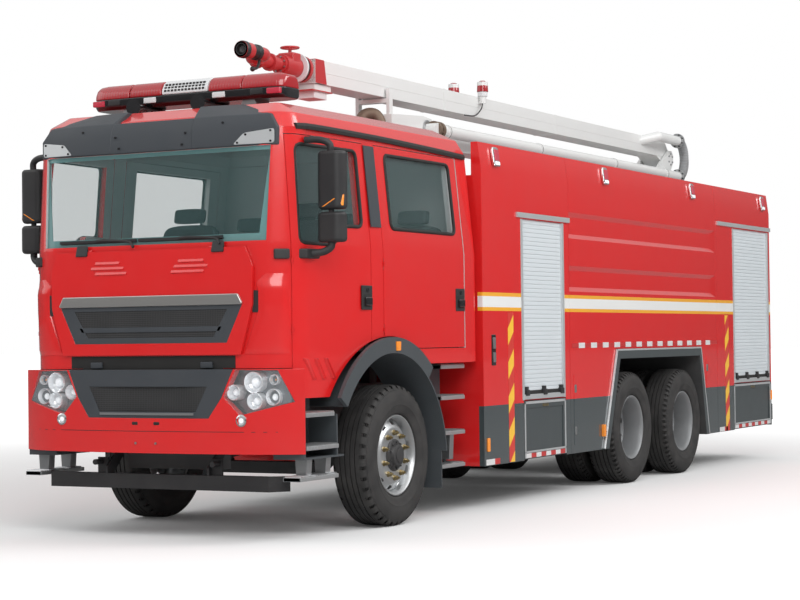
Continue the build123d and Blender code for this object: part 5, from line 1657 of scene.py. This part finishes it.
@dataclass
class FrontEnd:
    """The bumper, grilles, lamps, flap and underrun bar."""

    nose: float = -1.585
    flap: float = -1.528
    lamp: tuple[Flat, ...] = ((0.632, 1.004), (0.722, 1.186), (1.02, 1.181), (1.122, 0.972), (0.752, 0.882))
    fog: Flat = (0.765, 0.842)
    bowls: tuple[tuple[float, float, float], ...] = (
        (0.693, 1.035, 0.048), (0.842, 1.104, 0.068), (0.85, 0.975, 0.054), (0.978, 1.002, 0.052),
        (0.985, 1.122, 0.03),
    )
    small_bowl: float = 0.04
    facing: float = 0.35

    def build(self) -> None:
        """Dresses the front end."""
        skin("bumper", PAINT, 0.006, 3).close("chassis", "bumper")
        lower = skin("lower_grille", TRIM, 0.004)
        slot = self.tapered(1.085, 0.512, 0.893, 0.414)
        lower.plate(slot, Axis.Y, self.nose + 0.024, 0.006).ink(GRILLE_MESH).close("chassis", "lower_grille")
        skin("underrun_bar", BLACK, 0.006).close("chassis", "underrun_bar")
        skin("front_flap", PAINT, 0.004).close("front_flap", "front_flap")
        upper = skin("upper_grille", TRIM, 0.003)
        field = self.tapered(1.613, 0.692, 1.417, 0.558)
        upper.plate(field, Axis.Y, self.flap + 0.004, 0.018).ink(GRILLE_MESH)
        edge = ((0.655, 1.613), (0.695, 1.613), (0.565, 1.417), (0.535, 1.417))
        for frame_bar in (self.tapered(1.494, 0.612, 1.458, 0.588), edge, [(-x, z) for x, z in edge]):
            upper.plate(frame_bar, Axis.Y, self.flap - 0.001, 0.012, 0.003).ink(TRIM)
        upper.close("front_flap", "upper_grille")
        self.flap_trim()
        self.lower_trim()
        self.slit()
        for side in Side:
            self.headlamp(side)

    def tapered(self, top: float, top_half: float, foot: float, foot_half: float) -> list[Flat]:
        """A four-cornered field, wider at its top, as (x, z)."""
        return [(-top_half, top), (top_half, top), (foot_half, foot), (-foot_half, foot)]

    def flap_trim(self) -> None:
        """The bright band over the grille and the pressed louvres above it."""
        piece = Piece("flap_trim")
        band = [(-0.782, 1.65), (-0.745, 1.716), (0.745, 1.716), (0.782, 1.65), (0.772, 1.64),
                (-0.772, 1.64)]
        piece.plate(band, Axis.Y, self.flap - 0.016, 0.03, 0.008, 3).ink(BRUSHED)
        for s in (1, -1):
            for z, x0, x1 in ((1.955, 0.25, 0.465), (1.918, 0.215, 0.5), (1.881, 0.19, 0.465)):
                piece.hull([(s * x, self.flap + d, z + h) for x in (x0, x1) for d, h in
                            ((0.004, -0.014), (0.004, 0.016), (-0.01, -0.01))], 0.003)
        piece.ink(PAINT).close("front_flap")

    def lower_trim(self) -> None:
        """The bright strip in the lower grille, the bumper's seam, its small lamps and the screws."""
        piece = Piece("bumper_trim")
        self.strip(piece, "lower_grille", (0.877, 0.894), 0.4, 0.008)
        piece.ink(CHROME)
        self.strip(piece, "bumper", (0.762, 0.766), 1.02, 0.0006)
        piece.ink(SEAL)
        for s in (1, -1):
            x, z = s * self.fog[0], self.fog[1]
            y = front_y("bumper", x, z)
            bezel = [(-0.01, 0.032), (-0.006, 0.042), (0.03, 0.043), (0.03, 0.032)]
            piece.lathe(bezel, (x, y, z), Axis.Y, 28).ink(CHROME)
            bowl = [(-0.004, 0.0), (-0.002, 0.033), (0.03, 0.033), (0.03, 0.0)]
            piece.lathe(bowl, (x, y, z), Axis.Y, 28, closed=False).ink(BOWL)
            piece.ball((x, y - 0.004, z), (0.018, 0.008, 0.018), 8).ink(BULB)
            at = front_y("bumper", s * 0.085, 0.68)
            piece.rod((s * 0.085, at - 0.005, 0.68), (s * 0.085, at + 0.02, 0.68), 0.009, segments=10)
            piece.ink(STEEL)
            piece.box((s * 0.065, at - 0.003, 0.806), (s * 0.118, at + 0.03, 0.832), 0.008).ink(SEAL)
        piece.close("chassis")

    def strip(
        self, piece: Piece, node: str, z: Range, half: float, out: float, at: float | None = None
    ) -> None:
        """Adds a strip that follows a node's front from side to side.

        Args:
            piece: the piece that takes it.
            node: the node it lies on.
            z: its low and high edge.
            half: how far it runs to each side.
            out: how far it stands off the surface.
            at: the height at which the surface is felt, or the strip's middle.
        """
        count = 24
        across = [half * (2 * k / count - 1) for k in range(count + 1)]
        line = [(x, front_y(node, x, at or sum(z) / 2)) for x in across]
        section = [(-out, z[0]), (-out, z[1]), (0.008, z[1]), (0.008, z[0])]
        rings = [[piece.bm.verts.new((x, y + d, h)) for d, h in section] for x, y in line]
        for a, b in zip(rings, rings[1:]):
            for k in range(4):
                piece.bm.faces.new((a[k], a[k - 1], b[k - 1], b[k]))
        piece.bm.faces.new(rings[0])
        piece.bm.faces.new(rings[-1][::-1])

    def slit(self) -> None:
        """Black strips painted as the shadow in the gap between the flap and the bumper, with the two
        catches in it.
        """
        piece = Piece("flap_slit")
        low = 1.203
        # Painted shadow: the two black rubber-finish strips lie on the cab front where the gap under the
        # flap is in shade.
        self.strip(piece, "cab_front", (low, 1.289), 0.7, 0.003)
        self.strip(piece, "cab_front", (low - 0.045, low + 0.005), 0.6, 0.002, low + 0.01)
        piece.ink(SEAL)
        for x in (-0.47, 0.47):
            y = front_y("cab_front", x, 1.245)
            piece.box((x - 0.05, y - 0.022, low), (x + 0.05, y, low + 0.045), 0.008)
        piece.ink(TRIM).close("chassis")

    def headlamp(self, side: Side) -> None:
        """A lamp unit: bed, reflector bowls, bulbs and a clear cover on the bumper's own curve.

        Args:
            side: the side of the truck.
        """
        s = side.value
        piece = Piece(f"headlamp_{side.word}")
        piece.plate([(s * x, z) for x, z in self.lamp], Axis.Y, self.nose + 0.15, 0.03).ink(LAMP_BED)
        bowls = [(x, front_y("headlamps", s * x, z) + 0.022, z, r) for x, z, r in self.bowls]
        for x, y, z, r in bowls:
            bowl = [(0.0, r + 0.007), (-0.006, r + 0.003), (0.0, r), (0.035, r * 0.82), (0.058, r * 0.34),
                    (0.07, r * 0.3), (0.08, r + 0.007)]
            piece.lathe(bowl, (s * x, y, z), Axis.Y, 32)
        piece.ink(BOWL)
        for x, y, z, r in bowls:
            piece.ball((s * x, y + 0.04, z), (r * 0.5, r * 0.45, r * 0.5), 10)
            piece.ink(AMBER if r < self.small_bowl else BULB)
        if side is Side.LEFT:
            piece.close("chassis", "headlamps")
        else:
            piece.close("chassis")
        cover = Piece.copy_of("headlamps")
        cover.bm.normal_update()
        rest = [f for f in cover.bm.faces if f.normal.y > -self.facing or f.calc_center_median().x * s < 0]
        bmesh.ops.delete(cover.bm, geom=rest, context="FACES")
        cover.name = f"headlamp_cover_{side.word}"
        cover.ink(LENS).close("chassis", smooth=50.0, outward=False)


@dataclass
class Wings:
    """Front wings with their flare, steps and mudguard.

    treads: each step's height, its ends along the truck and its inner and outer edge.
    """

    treads: tuple[tuple[float, Range, Range], ...] = (
        (0.885, (-1.372, -0.985), (0.985, 1.186)), (0.658, (-1.372, -0.93), (0.985, 1.186)),
        (0.45, (-1.44, -0.919), (1.035, 1.176)), (1.178, (0.7, 1.112), (0.96, 1.172)),
        (0.935, (0.7, 1.112), (0.96, 1.172)), (0.66, (0.7, 1.112), (0.96, 1.172)),
        (0.404, (0.708, 1.112), (1.0, 1.17)),
    )
    tooth: float = 0.024

    def build(self) -> None:
        """Dresses both wings and adds treads, brackets and markers."""
        for side in Side:
            s = side.value
            node = f"wing_{side.word}"
            skin(node, FLARE, 0.004).close("chassis", node)
            piece = Piece(f"wing_{side.word}_steps")
            for z, ends, edges in self.treads:
                self.tread(piece, s, z, ends, edges)
            piece.ink(GRIP)
            for y in (-1.28, -1.02, 0.91):
                top = 0.575 if y < 0 else 0.64
                bracket = [(s * 1.055, top), (s * 1.155, top), (s * 1.145, 0.44), (s * 1.065, 0.44)]
                piece.plate(bracket, Axis.Y, y - 0.035, 0.07, 0.004)
            piece.ink(STEEL)
            piece.hull([(s * x, y, z) for x in (1.235, 1.256) for y, z in
                        ((-0.175, 1.372), (-0.105, 1.372), (-0.112, 1.302), (-0.168, 1.302))], 0.005)
            piece.ink(AMBER)
            piece.box((s * 0.9, 0.64, 0.235), (s * 1.195, 0.652, 0.48), 0.003).ink(SEAL)
            piece.close("chassis")

    def tread(self, piece: Piece, s: int, z: float, y: Range, x: Range) -> None:
        """Adds a serrated aluminium tread with a toothed outer edge.

        Args:
            piece: the piece that takes it.
            s: the side's sign.
            z: height of its top.
            y: its two ends.
            x: its inner and outer edges.
        """
        piece.box((s * x[0], y[0], z - 0.026), (s * x[1], y[1], z + 0.003), 0.004)
        for k in range(int((y[1] - y[0]) / self.tooth)):
            at = y[0] + self.tooth / 2 + k * self.tooth
            piece.hull([(s * a, at + b, z + c) for a in (x[0] + 0.01, x[1] - 0.002) for b, c in
                        ((-0.008, 0.0), (0.008, 0.0), (0.0, 0.012))])


@dataclass
class Body:
    """The equipment body: paint, shutters, step flaps, lamps, hatches, tape and the rear end."""

    side_x: float = 1.25
    slat: float = 0.036
    recess: float = 0.03
    rear_y: float = 8.86
    deck_z: float = 2.7
    upper_z: float = 2.0
    arch_z: float = 1.3
    skirt_z: float = 1.25
    skirt_x: float = 1.2
    tape: Range = (-0.002, 0.0012)
    foot_tape: Range = (0.366, 0.412)
    flap_tape: Range = (0.378, 0.416)
    hook: tuple[tuple[float, ...], ...] = (
        (0.018, 0.035, 0.035, 0.085, 0.006), (0.012, 0.02, 0.07, 0.112, 0.005),
    )
    row: Range = (3.189, 6.989)
    row_blocks: int = 13
    lockers: tuple[tuple[Range, Range, int], ...] = (
        ((2.042, 2.946), (0.864, 2.38), 3), ((7.545, 8.8), (0.864, 2.537), 4),
    )
    flap_spans: tuple[tuple[str, float, float, int], ...] = (
        ("front", 2.076, 2.952, 8), ("rear", 7.54, 8.826, 11),
    )

    def slab(
        self, piece: Piece, s: int, out: Range, y: Range, z: Range, soft: float = 0.0, segments: int = 2
    ) -> Piece:
        """Adds a block on side s: its faces' distances off the wall, its ends, foot and head."""
        near, far = s * (self.side_x + out[0]), s * (self.side_x + out[1])
        return piece.box((near, y[0], z[0]), (far, y[1], z[1]), soft, segments)

    def build(self) -> None:
        """Dresses the modules and adds what stands on them."""
        for node in ("body_front", "body_mid", "body_rear"):
            piece = skin(node, BODY_PAINT, 0.003)
            for face in piece.bm.faces:
                middle = face.calc_center_median()
                low = max(v.co.z for v in face.verts) < self.skirt_z
                proud = abs(middle.x) > self.side_x + 0.0005
                if face.normal.z > 0.9 and abs(middle.z - self.deck_z) < 0.01:
                    face[piece.layer] = piece.mark(DECK)
                elif proud and middle.z > self.upper_z:
                    face[piece.layer] = piece.mark(ALU)
                elif proud and middle.z < self.arch_z:
                    face[piece.layer] = piece.mark(GREY_PANEL)
                elif low and (face.normal.z < -0.5 or abs(middle.x) < self.skirt_x):
                    face[piece.layer] = piece.mark(CHASSIS)
            piece.close("chassis", node)
        self.shutters()
        for side in Side:
            self.flank(side)
            self.flaps(side)
            self.arch_edge(side)
        self.lamps()
        self.rear()

    def shutters(self) -> None:
        """Roller curtains of narrow slats with guide rails, lift bars and hooks."""
        piece = Piece("roller_shutters")
        for s in (1, -1):
            for (y0, y1), (z0, z1), hooks in self.lockers:
                self.curtain(piece, s, (y0, y1), (z0, z1))
                piece.ink(SLATS)
                inside = (y0 + 0.03, y1 - 0.03)
                for y in (y0, y1 - 0.042):
                    self.slab(piece, s, (-0.026, 0.004), (y, y + 0.042), (z0, z1), 0.003)
                self.slab(piece, s, (-0.028, 0.008), inside, (z0 + 0.004, z0 + 0.046), 0.005).ink(ALU)
                self.slab(piece, s, (-0.03, -0.007), inside, (z0 + 0.046, z0 + 0.078), 0.004).ink(SEAL)
                for k in range(hooks):
                    y = y0 + 0.09 + (y1 - y0 - 0.18) * k / (hooks - 1)
                    for out, half, low, high, soft in self.hook:
                        span = (y - half, y + half)
                        self.slab(piece, s, (-0.025, out), span, (z0 + low, z0 + high), soft)
                piece.ink(BLACK)
        slat = ((8.832, 0.0), (8.848, 0.004), (8.849, 0.028), (8.832, 0.0345))
        for k in range(int(1.4 / self.slat)):
            z = 1.104 + k * self.slat
            piece.hull([(x, y, z + h) for x in (-0.695, 0.695) for y, h in slat])
        piece.ink(SLATS)
        piece.box((-0.66, 8.836, 1.11), (0.66, 8.868, 1.15), 0.005).ink(ALU)
        piece.close("chassis", "shutters")

    def curtain(self, piece: Piece, s: int, y: Range, z: Range) -> None:
        """Adds one curtain of rounded slats.

        Args:
            piece: the piece that takes it.
            s: the side's sign.
            y: the curtain's front and rear edges.
            z: its foot and head.
        """
        back = self.side_x - self.recess + 0.001
        foot = 0.07
        count = int((z[1] - z[0] - foot) / self.slat)
        pitch = (z[1] - z[0] - foot) / count
        section = ((0.0, 0.0), (0.0135, 0.001), (0.0158, 0.005), (0.0162, pitch - 0.007),
                   (0.0135, pitch - 0.001), (0.0, pitch))
        ends = (y[0] + 0.022, y[1] - 0.022)
        for k in range(count):
            low = z[0] + foot + k * pitch
            piece.hull([(s * (back + d), end, low + h) for end in ends for d, h in section])

    def flank(self, side: Side) -> None:
        """Hazard strips, tape, hatches, markers and handles on one side.

        Args:
            side: the side of the truck.
        """
        s = side.value
        piece = Piece(f"body_tape_{side.word}")
        for span in ((1.77, 1.878), (7.258, 7.38)):
            self.slab(piece, s, self.tape, span, (0.366, 1.596))
        piece.ink(HAZARD)
        pitch = (self.row[1] - self.row[0]) / (self.row_blocks + 0.5)
        for k in range(self.row_blocks):
            y = self.row[0] + (k + 0.5) * pitch
            self.slab(piece, s, self.tape, (y - pitch / 4, y + pitch / 4), (1.287, 1.334))
        for y in (1.36, 7.08):
            self.slab(piece, s, self.tape, (y - 0.03, y + 0.13), self.foot_tape)
        piece.ink(PALE_TAPE)
        self.slab(piece, s, (self.tape[0], 0.0008), (3.11, self.row[1]), (1.292, 1.329))
        for y in (1.49, 7.21):
            self.slab(piece, s, self.tape, (y, y + 0.1), self.foot_tape)
        piece.ink(RED_TAPE).close("chassis")
        extra = Piece(f"body_fittings_{side.word}")
        for y_span, z_span in (((3.136, 3.7), (0.431, 1.055)), ((6.64, 6.96), (0.431, 1.18))):
            self.slab(extra, s, (-0.01, 0.003), y_span, z_span, 0.0022)
        extra.ink(BODY_PAINT)
        for y, z in ((3.165, 0.56), (3.165, 0.93), (6.665, 1.05)):
            self.slab(extra, s, (-0.004, 0.008), (y - 0.02, y + 0.02), (z - 0.035, z + 0.035), 0.004)
        extra.ink(STEEL)
        for y, z, out in ((1.368, 0.529, 0.014), (3.791, 0.532, 0.03), (8.832, 0.7, 0.014)):
            self.slab(extra, s, (-0.004, out), (y - 0.02, y + 0.02), (z - 0.055, z + 0.055), 0.007, 3)
        extra.ink(AMBER)
        self.slab(extra, s, (-0.006, 0.006), (1.452, 1.528), (1.165, 1.415), 0.006, 3).ink(GLOSS_BLACK)
        for z_span in ((1.3, 1.392), (1.19, 1.27)):
            self.slab(extra, s, (-0.004, 0.016), (1.47, 1.51), z_span, 0.006)
        extra.ink(STEEL).close("chassis")

    def flaps(self, side: Side) -> None:
        """Step flaps with a bright frame, a grey panel and taped feet.

        Args:
            side: the side of the truck.
        """
        s = side.value
        inner, low, high = -0.004, 0.376, 0.851
        for key, y0, y1, count in self.flap_spans:
            node = f"step_flap_{key}_{side.word}"
            skin(node, GREY_PANEL, 0.002).close(body_of(node), node)
            piece = Piece(f"{node}_frame")
            start, end = y0 + 0.004, y1 - 0.004
            for a, b, c, d in ((start, y0 + 0.026, low, high), (y1 - 0.026, end, low, high),
                               (start, end, 0.829, high), (start, end, 0.42, 0.436)):
                self.slab(piece, s, (inner, 0.004), (a, b), (c, d), 0.0025)
            piece.ink(ALU)
            grip = ((y0 + y1) / 2 - 0.06, (y0 + y1) / 2 + 0.06)
            self.slab(piece, s, (inner, 0.006), grip, (0.8, 0.822), 0.004).ink(BRASS)
            start, length = y0 + 0.03, y1 - y0 - 0.06
            for first, finish in enumerate((PALE_TAPE, RED_TAPE)):
                for k in range(first, count, 2):
                    span = (start + length * k / count, start + length * (k + 1) / count)
                    self.slab(piece, s, (inner, self.tape[1]), span, self.flap_tape)
                piece.ink(finish)
            piece.close(body_of(node))

    def arch_edge(self, side: Side) -> None:
        """The bright edge that runs round the rear wheel arch.

        Args:
            side: the side of the truck.
        """
        s = side.value
        outer = [(3.8, 0.365), (4.14, 1.27), (6.46, 1.27), (6.69, 0.365)]
        piece = Piece(f"arch_edge_{side.word}")
        for (ya, za), (yb, zb) in zip(outer, outer[1:]):
            run = Vector((0.0, yb - ya, zb - za)).normalized()
            down = Vector((0.0, run.z, -run.y)) * 0.018
            piece.hull([Vector((s * x, y, z)) + d for x in (self.side_x - 0.002, self.side_x + 0.021)
                        for y, z in ((ya, za), (yb, zb)) for d in (Vector(), down)], 0.006)
        piece.ink(ALU).close("chassis")

    def lamps(self) -> None:
        """The flashing lamps under the parapets: bright rims with red and clear lenses."""
        skin("body_lamps", CHROME, 0.008, 3).close("chassis", "body_lamps")
        piece = Piece("flash_lenses")
        lean = math.atan2(0.03, 0.217)
        parts = ((-0.076, 0.076, 0.052, 0.03, CHROME), (-0.03, 0.064, 0.04, 0.038, CLEAR_RED),
                 (-0.066, -0.034, 0.04, 0.038, BULB))
        for y in (1.567, 3.924, 6.279, 8.605):
            for low, high, wide, depth, finish in parts:
                out = [(1.235 + d - math.tan(lean) * h, y + a, 2.858 + h) for d in (0.01, depth)
                       for a in (-wide, wide) for h in (low, high)]
                piece.hull(out, 0.008, 3).ink(finish)
                piece.hull([(-a, b, c) for a, b, c in out], 0.008, 3).ink(finish)
        piece.close("chassis")

    def rear(self) -> None:
        """Lamp clusters, a ladder and a blank plate at the rear."""
        back = self.rear_y
        piece = Piece("rear_fittings")
        dome = [(0.0, 0.0), (0.0, 0.044), (0.016, 0.042), (0.022, 0.03), (0.024, 0.0)]
        rails, rail_y = (1.08, 0.78), back + 0.04
        for s, x_rail in zip((1, -1), rails):
            piece.box((s * 0.86, back - 0.01, 0.7), (s * 1.16, back + 0.028, 0.86), 0.012, 3)
            piece.ink(GLOSS_BLACK)
            for x, finish in ((0.91, RED_LENS), (1.01, AMBER), (1.11, CLEAR_RED)):
                piece.lathe(dome, (s * x, back + 0.02, 0.78), Axis.Y, 28, closed=False).ink(finish)
            piece.box((s * 1.13, back - 0.01, 0.95), (s * 1.2, back + 0.0015, 2.62), 0.0).ink(HAZARD)
            piece.tube([(x_rail, rail_y, 0.7), (x_rail, rail_y, 2.96)], 0.018, 12).ink(STEEL)
        for k in range(8):
            z = 0.8 + k * 0.28
            piece.rod((0.78, rail_y, z), (1.08, rail_y, z), 0.013, segments=12)
        for x in reversed(rails):
            for z in (0.9, 1.8, 2.7):
                piece.rod((x, back - 0.005, z), (x, rail_y, z), 0.01, segments=10)
        piece.ink(STEEL)
        piece.box((-0.26, back + 0.03, 0.455), (0.26, back + 0.038, 0.565), 0.003).ink(PALE_TAPE)
        piece.close("chassis")


@dataclass
class Boom:
    """The folding boom, its turntable, water pipe, hoses and the monitor at its head."""

    pipe_x: float = 0.25
    pipe_r: float = 0.054
    elbow_y: float = 8.65
    elbow_z: float = 3.425
    hoop: float = 0.205

    def build(self) -> None:
        """Dresses the boom from the turntable to the nozzle."""
        for node, soft in (("turntable", 0.004), ("lower_boom", 0.004), ("upper_boom", 0.005)):
            skin(node, BOOM_PAINT, soft).close(body_of(node), node)
        skin("lift_barrel", BOOM_PAINT).close("lift_barrel", "lift_barrel")
        dress("lift_rod", CHROME)
        self.elbow()
        self.upper_fittings()
        self.lower_fittings()
        self.table_fittings()
        self.monitor()

    def elbow(self) -> None:
        """The corrugated hose that curves round the elbow."""
        piece = Piece("elbow_hose_bend")
        count, rib = 28, 0.006
        path = []
        for k in range(count + 1):
            turn = math.pi * k / count - math.pi / 2
            way = Vector((0.0, math.cos(turn), math.sin(turn)))
            path.append(Vector((self.pipe_x, self.elbow_y, self.elbow_z)) + way * self.hoop)
        piece.tube(path, self.pipe_r - rib, 20)
        for before, at, after in zip(path, path[1:], path[2:]):
            ahead = (after - before).normalized() * rib
            piece.rod(at - ahead, at + ahead, self.pipe_r, segments=20)
        made = piece.ink(HOSE).close(None, "elbow_hose")
        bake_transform(made)

    def flange(self, piece: Piece, z: float) -> None:
        """Adds the bolted flange where the elbow's hose meets a water pipe at height z."""
        piece.ring((self.pipe_x, self.elbow_y, z), Axis.Y, (self.pipe_r, 0.083), (-0.032, -0.002)).ink(STEEL)
        piece.bolts((self.pipe_x, self.elbow_y - 0.032, z), Axis.Y, 0.069, 8, 0.009, -0.014).ink(BLACK)

    def upper_fittings(self) -> None:
        """Seam strips, beacons, head plate, cables and a pipe flange on the upper boom."""
        piece = Piece("upper_boom_fittings")
        for s in (1, -1):
            piece.box((s * 0.119, 0.7, 3.536), (s * 0.1225, 8.3, 3.544), 0.001)
        for y in (2.9, 5.4):
            piece.box((-0.124, y, 3.441), (0.124, y + 0.05, 3.639), 0.004)
        piece.ink(BOOM_PAINT)
        dome = [(0.0, 0.0), (0.0, 0.053), (0.06, 0.05), (0.092, 0.04), (0.104, 0.022), (0.107, 0.0)]
        for x in (0.15, -0.15):
            piece.lathe(dome, (x, 3.65, 3.684), Axis.Z, 28, closed=False).ink(RED_LENS)
            piece.rod((x, 3.65, 3.64), (x, 3.65, 3.686), 0.046, segments=24, soft=0.004).ink(WHITE_SHELL)
        run = [(0.15, 3.65, 3.59), (0.158, 3.6, 3.52), (0.14, 3.5, 3.45), (0.131, 3.3, 3.436)]
        piece.tube(curve_through(run), 0.006, 8)
        for z in (3.47, 3.485):
            piece.tube([(-0.127, 0.8, z), (-0.127, 8.2, z)], 0.007, 8)
        piece.ink(CABLE)
        self.flange(piece, self.elbow_z + self.hoop)
        piece.box((-0.085, 0.66, 3.33), (0.085, 0.86, 3.386), 0.006).ink(WHITE_SHELL)
        piece.box((-0.105, 0.6, 3.386), (0.105, 0.92, 3.396), 0.003)
        nose = ((0.62, 3.445), (0.62, 3.64), (0.76, 3.64), (0.8, 3.445))
        piece.hull([(x, y, z) for x in (-0.124, 0.124) for y, z in nose], 0.006)
        piece.ink(MONITOR_PAINT).close("upper_boom")

    def lower_fittings(self) -> None:
        """Joint rings and flange of the lower boom's water pipe, and the worn swivel at its root."""
        piece = Piece("lower_boom_fittings")
        low = self.elbow_z - self.hoop
        for y in (2.672, 4.672, 6.622, 8.172):
            piece.ring((self.pipe_x, y, low), Axis.Y, (0.05, 0.0625), (-0.004, 0.004))
        piece.ink(SEAL)
        self.flange(piece, low)
        for y in (2.45, 2.52):
            piece.ring((self.pipe_x, y, low), Axis.Y, (0.05, 0.076), (-0.02, 0.02))
        piece.bolts((self.pipe_x, 2.5, low), Axis.Y, 0.066, 10, 0.007, -0.045).ink(RUSTY)
        for s in (1, -1):
            piece.bolts((s * 0.156, self.elbow_y, self.elbow_z), Axis.X, 0.062, 6, 0.01, s * 0.012)
        piece.ink(STEEL).close("lower_boom")

    def table_fittings(self) -> None:
        """The hose that rises from the turntable, the boom's marker, bolts and the luff pin's caps."""
        piece = Piece("turntable_fittings")
        rise = [(-0.05, 1.7, 2.92), (-0.05, 1.62, 3.15), (-0.02, 1.66, 3.285), (0.06, 1.74, 3.29),
                (0.12, 1.755, 3.12), (0.12, 1.757, 2.92)]
        piece.tube(curve_through(rise, 8), 0.05, 16).ink(RUSTY)
        piece.box((-0.128, 1.806, 3.405), (0.128, 1.814, 3.43), 0.003).ink(RED_TAPE)
        piece.bolts((0.0, 2.2, 2.9), Axis.Z, 0.485, 24, 0.014, 0.016).ink(STEEL)
        cap = ((0.0, 0.0), (0.0, 0.075), (0.01, 0.075), (0.014, 0.06), (0.014, 0.0))
        for s in (1, -1):
            centre = (s * 0.19, 2.42, 3.23)
            piece.lathe([(s * a, r) for a, r in cap], centre, Axis.X, 32, closed=False)
        piece.ink(STEEL).close("turntable")

    def monitor(self) -> None:
        """The water monitor: red castings, flanges, lever and a dark nozzle."""
        z = 3.56
        for node in ("monitor_base", "monitor_barrel"):
            skin(node, MONITOR_PAINT, 0.003).close(node, node)
        base = Piece("monitor_fittings")
        for y, outer, finish in ((0.545, 0.112, SEAL), (0.515, 0.118, WHITE_SHELL)):
            base.ring((0.0, y, z), Axis.Y, (0.08, outer), (-0.012, 0.012), 40).ink(finish)
        for y in (0.27, 0.12, -0.06):
            base.ring((0.0, y, z), Axis.Y, (0.045, 0.07), (-0.014, 0.014))
        gear = [(x, y, z + h) for x in (-0.075, 0.075) for y in (0.36, 0.48) for h in (0.0, 0.105)]
        base.hull(gear, 0.014, 3).ink(MONITOR_PAINT)
        base.bolts((0.0, 0.256, z), Axis.Y, 0.06, 8, 0.007, -0.01).ink(STEEL)
        base.close("monitor_base")
        head = Piece("nozzle")
        x = 0.1903
        mouth = [(-0.59, 0.04), (-0.59, 0.06), (-0.575, 0.066), (-0.545, 0.066), (-0.535, 0.06),
                 (-0.5, 0.06), (-0.495, 0.055), (-0.4, 0.054), (-0.395, 0.06), (-0.36, 0.06),
                 (-0.36, 0.049), (-0.5, 0.04)]
        head.lathe(mouth, (x, 0.0, z), Axis.Y, 40).ink(BLACK)
        plug = [(-0.56, 0.0), (-0.572, 0.022), (-0.56, 0.041), (-0.548, 0.041), (-0.548, 0.0)]
        head.lathe(plug, (x, 0.0, z), Axis.Y, 28, closed=False).ink(HUB)
        lever = [(x, -0.33, z - 0.05), (x, -0.36, z - 0.11), (x, -0.42, z - 0.13)]
        head.tube(curve_through(lever), 0.011, 10)
        head.ball((x, -0.43, z - 0.131), (0.02, 0.02, 0.02), 8)
        head.ink(BLACK).close("monitor_barrel")


@dataclass
class Inside:
    """What shows through the glass: seats, dashboard, floor and lining."""

    floor_z: float = 1.355
    rows: tuple[tuple[str, float, float, float, int], ...] = (
        ("driver", 0.52, -0.76, 0.52, 1), ("mate", -0.52, -0.76, 0.52, 1), ("crew", 0.0, 0.52, 2.04, 4),
    )
    pinch: float = 0.1

    def build(self) -> None:
        """Dresses the cab's inside and makes the seats."""
        skin("dashboard", DASH, 0.006).close("chassis", "dashboard")
        dress("cab_floor", FLOOR_MAT)
        frames = Piece("seat_frames")
        for name, x, y, width, places in self.rows:
            left, pitch = x - width / 2, width / places
            frames.box((left + 0.05, y + 0.05, self.floor_z), (left + width - 0.05, y + 0.47, 1.6), 0.02)
            parts = (("cushion", pitch - 0.01, (0.0, 1.6), (0.51, 1.73), 0.0),
                     ("back", pitch - 0.02, (0.41, 1.735), (0.52, 2.29), 0.085),
                     ("headrest", 0.26, (0.475, 2.3), (0.565, 2.415), 0.02))
            for k in range(places):
                at = left + (k + 0.5) * pitch
                for part, wide, (y0, z0), (y1, z1), lean in parts:
                    self.pad(f"{name}_{k}_{part}", at, wide, (y + y0, z0), (y + y1, z1), lean)
        frames.ink(BLACK).close("chassis", "seats")

    def pad(self, name: str, x: float, width: float, low: Flat, high: Flat, lean: float) -> bpy.types.Object:
        """A stuffed pad with crowned faces and sides that pull in between its corners.

        Args:
            name: the piece's name.
            x: its middle.
            width: its width.
            low: front edge and foot, as (y, z).
            high: rear edge and head, as (y, z).
            lean: how far its head stands behind its foot.

        Returns:
            The pad.
        """
        piece = Piece(name)
        size = Vector((width, high[0] - low[0], high[1] - low[1])) / 2
        middle = Vector((x, (low[0] + high[0]) / 2, (low[1] + high[1]) / 2))
        bmesh.ops.create_cube(piece.bm, size=2.0)
        bmesh.ops.subdivide_edges(piece.bm, edges=piece.bm.edges[:], cuts=9, use_grid_fill=True)
        for vert in piece.bm.verts:
            u = vert.co.copy()
            edge = [1.0 - abs(c) ** 4 for c in u]
            fuller = [max(0.0, edge[(i + 1) % 3] * edge[(i + 2) % 3]) ** 0.5 for i in range(3)]
            full = Vector([c * (1.0 - self.pinch + self.pinch * f) for c, f in zip(u, fuller)])
            channel = 1.0 - 0.04 * math.exp(-((abs(u.x) - 0.55) / 0.05) ** 2)
            spot = Vector((full.x * size.x, full.y * size.y * channel, full.z * size.z * channel)) + middle
            spot.y += lean * (u.z + 1.0) / 2
            vert.co = spot
        bmesh.ops.smooth_vert(
            piece.bm, verts=piece.bm.verts[:], factor=0.4, use_axis_x=True, use_axis_y=True, use_axis_z=True
        )
        made = piece.ink(SEAT_CLOTH).close("chassis", smooth=180.0)
        smooth = made.modifiers.new("stuffing", "SUBSURF")
        smooth.levels = smooth.render_levels = 1
        return made


@dataclass
class Underside:
    """Frame, axles and power unit."""

    nodes: tuple[str, ...] = (
        "rails", "cross_members", "engine", "front_axle", "rear_axles", "knuckle_left", "knuckle_right",
    )

    def build(self) -> None:
        """Gives the running gear its chassis paint."""
        for node in self.nodes:
            dress(node, CHASSIS)


def main() -> None:
    """Builds every sub-assembly in order and sets the studio."""
    logging.basicConfig(level=logging.INFO, format="%(name)s %(message)s")
    for part in (Wheels(), Cab(), FrontEnd(), Wings(), Body(), Boom(), Inside(), Underside(), Studio()):
        part.build()
        LOG.info("built %s", type(part).__name__)


if __name__ == "__main__":
    main()
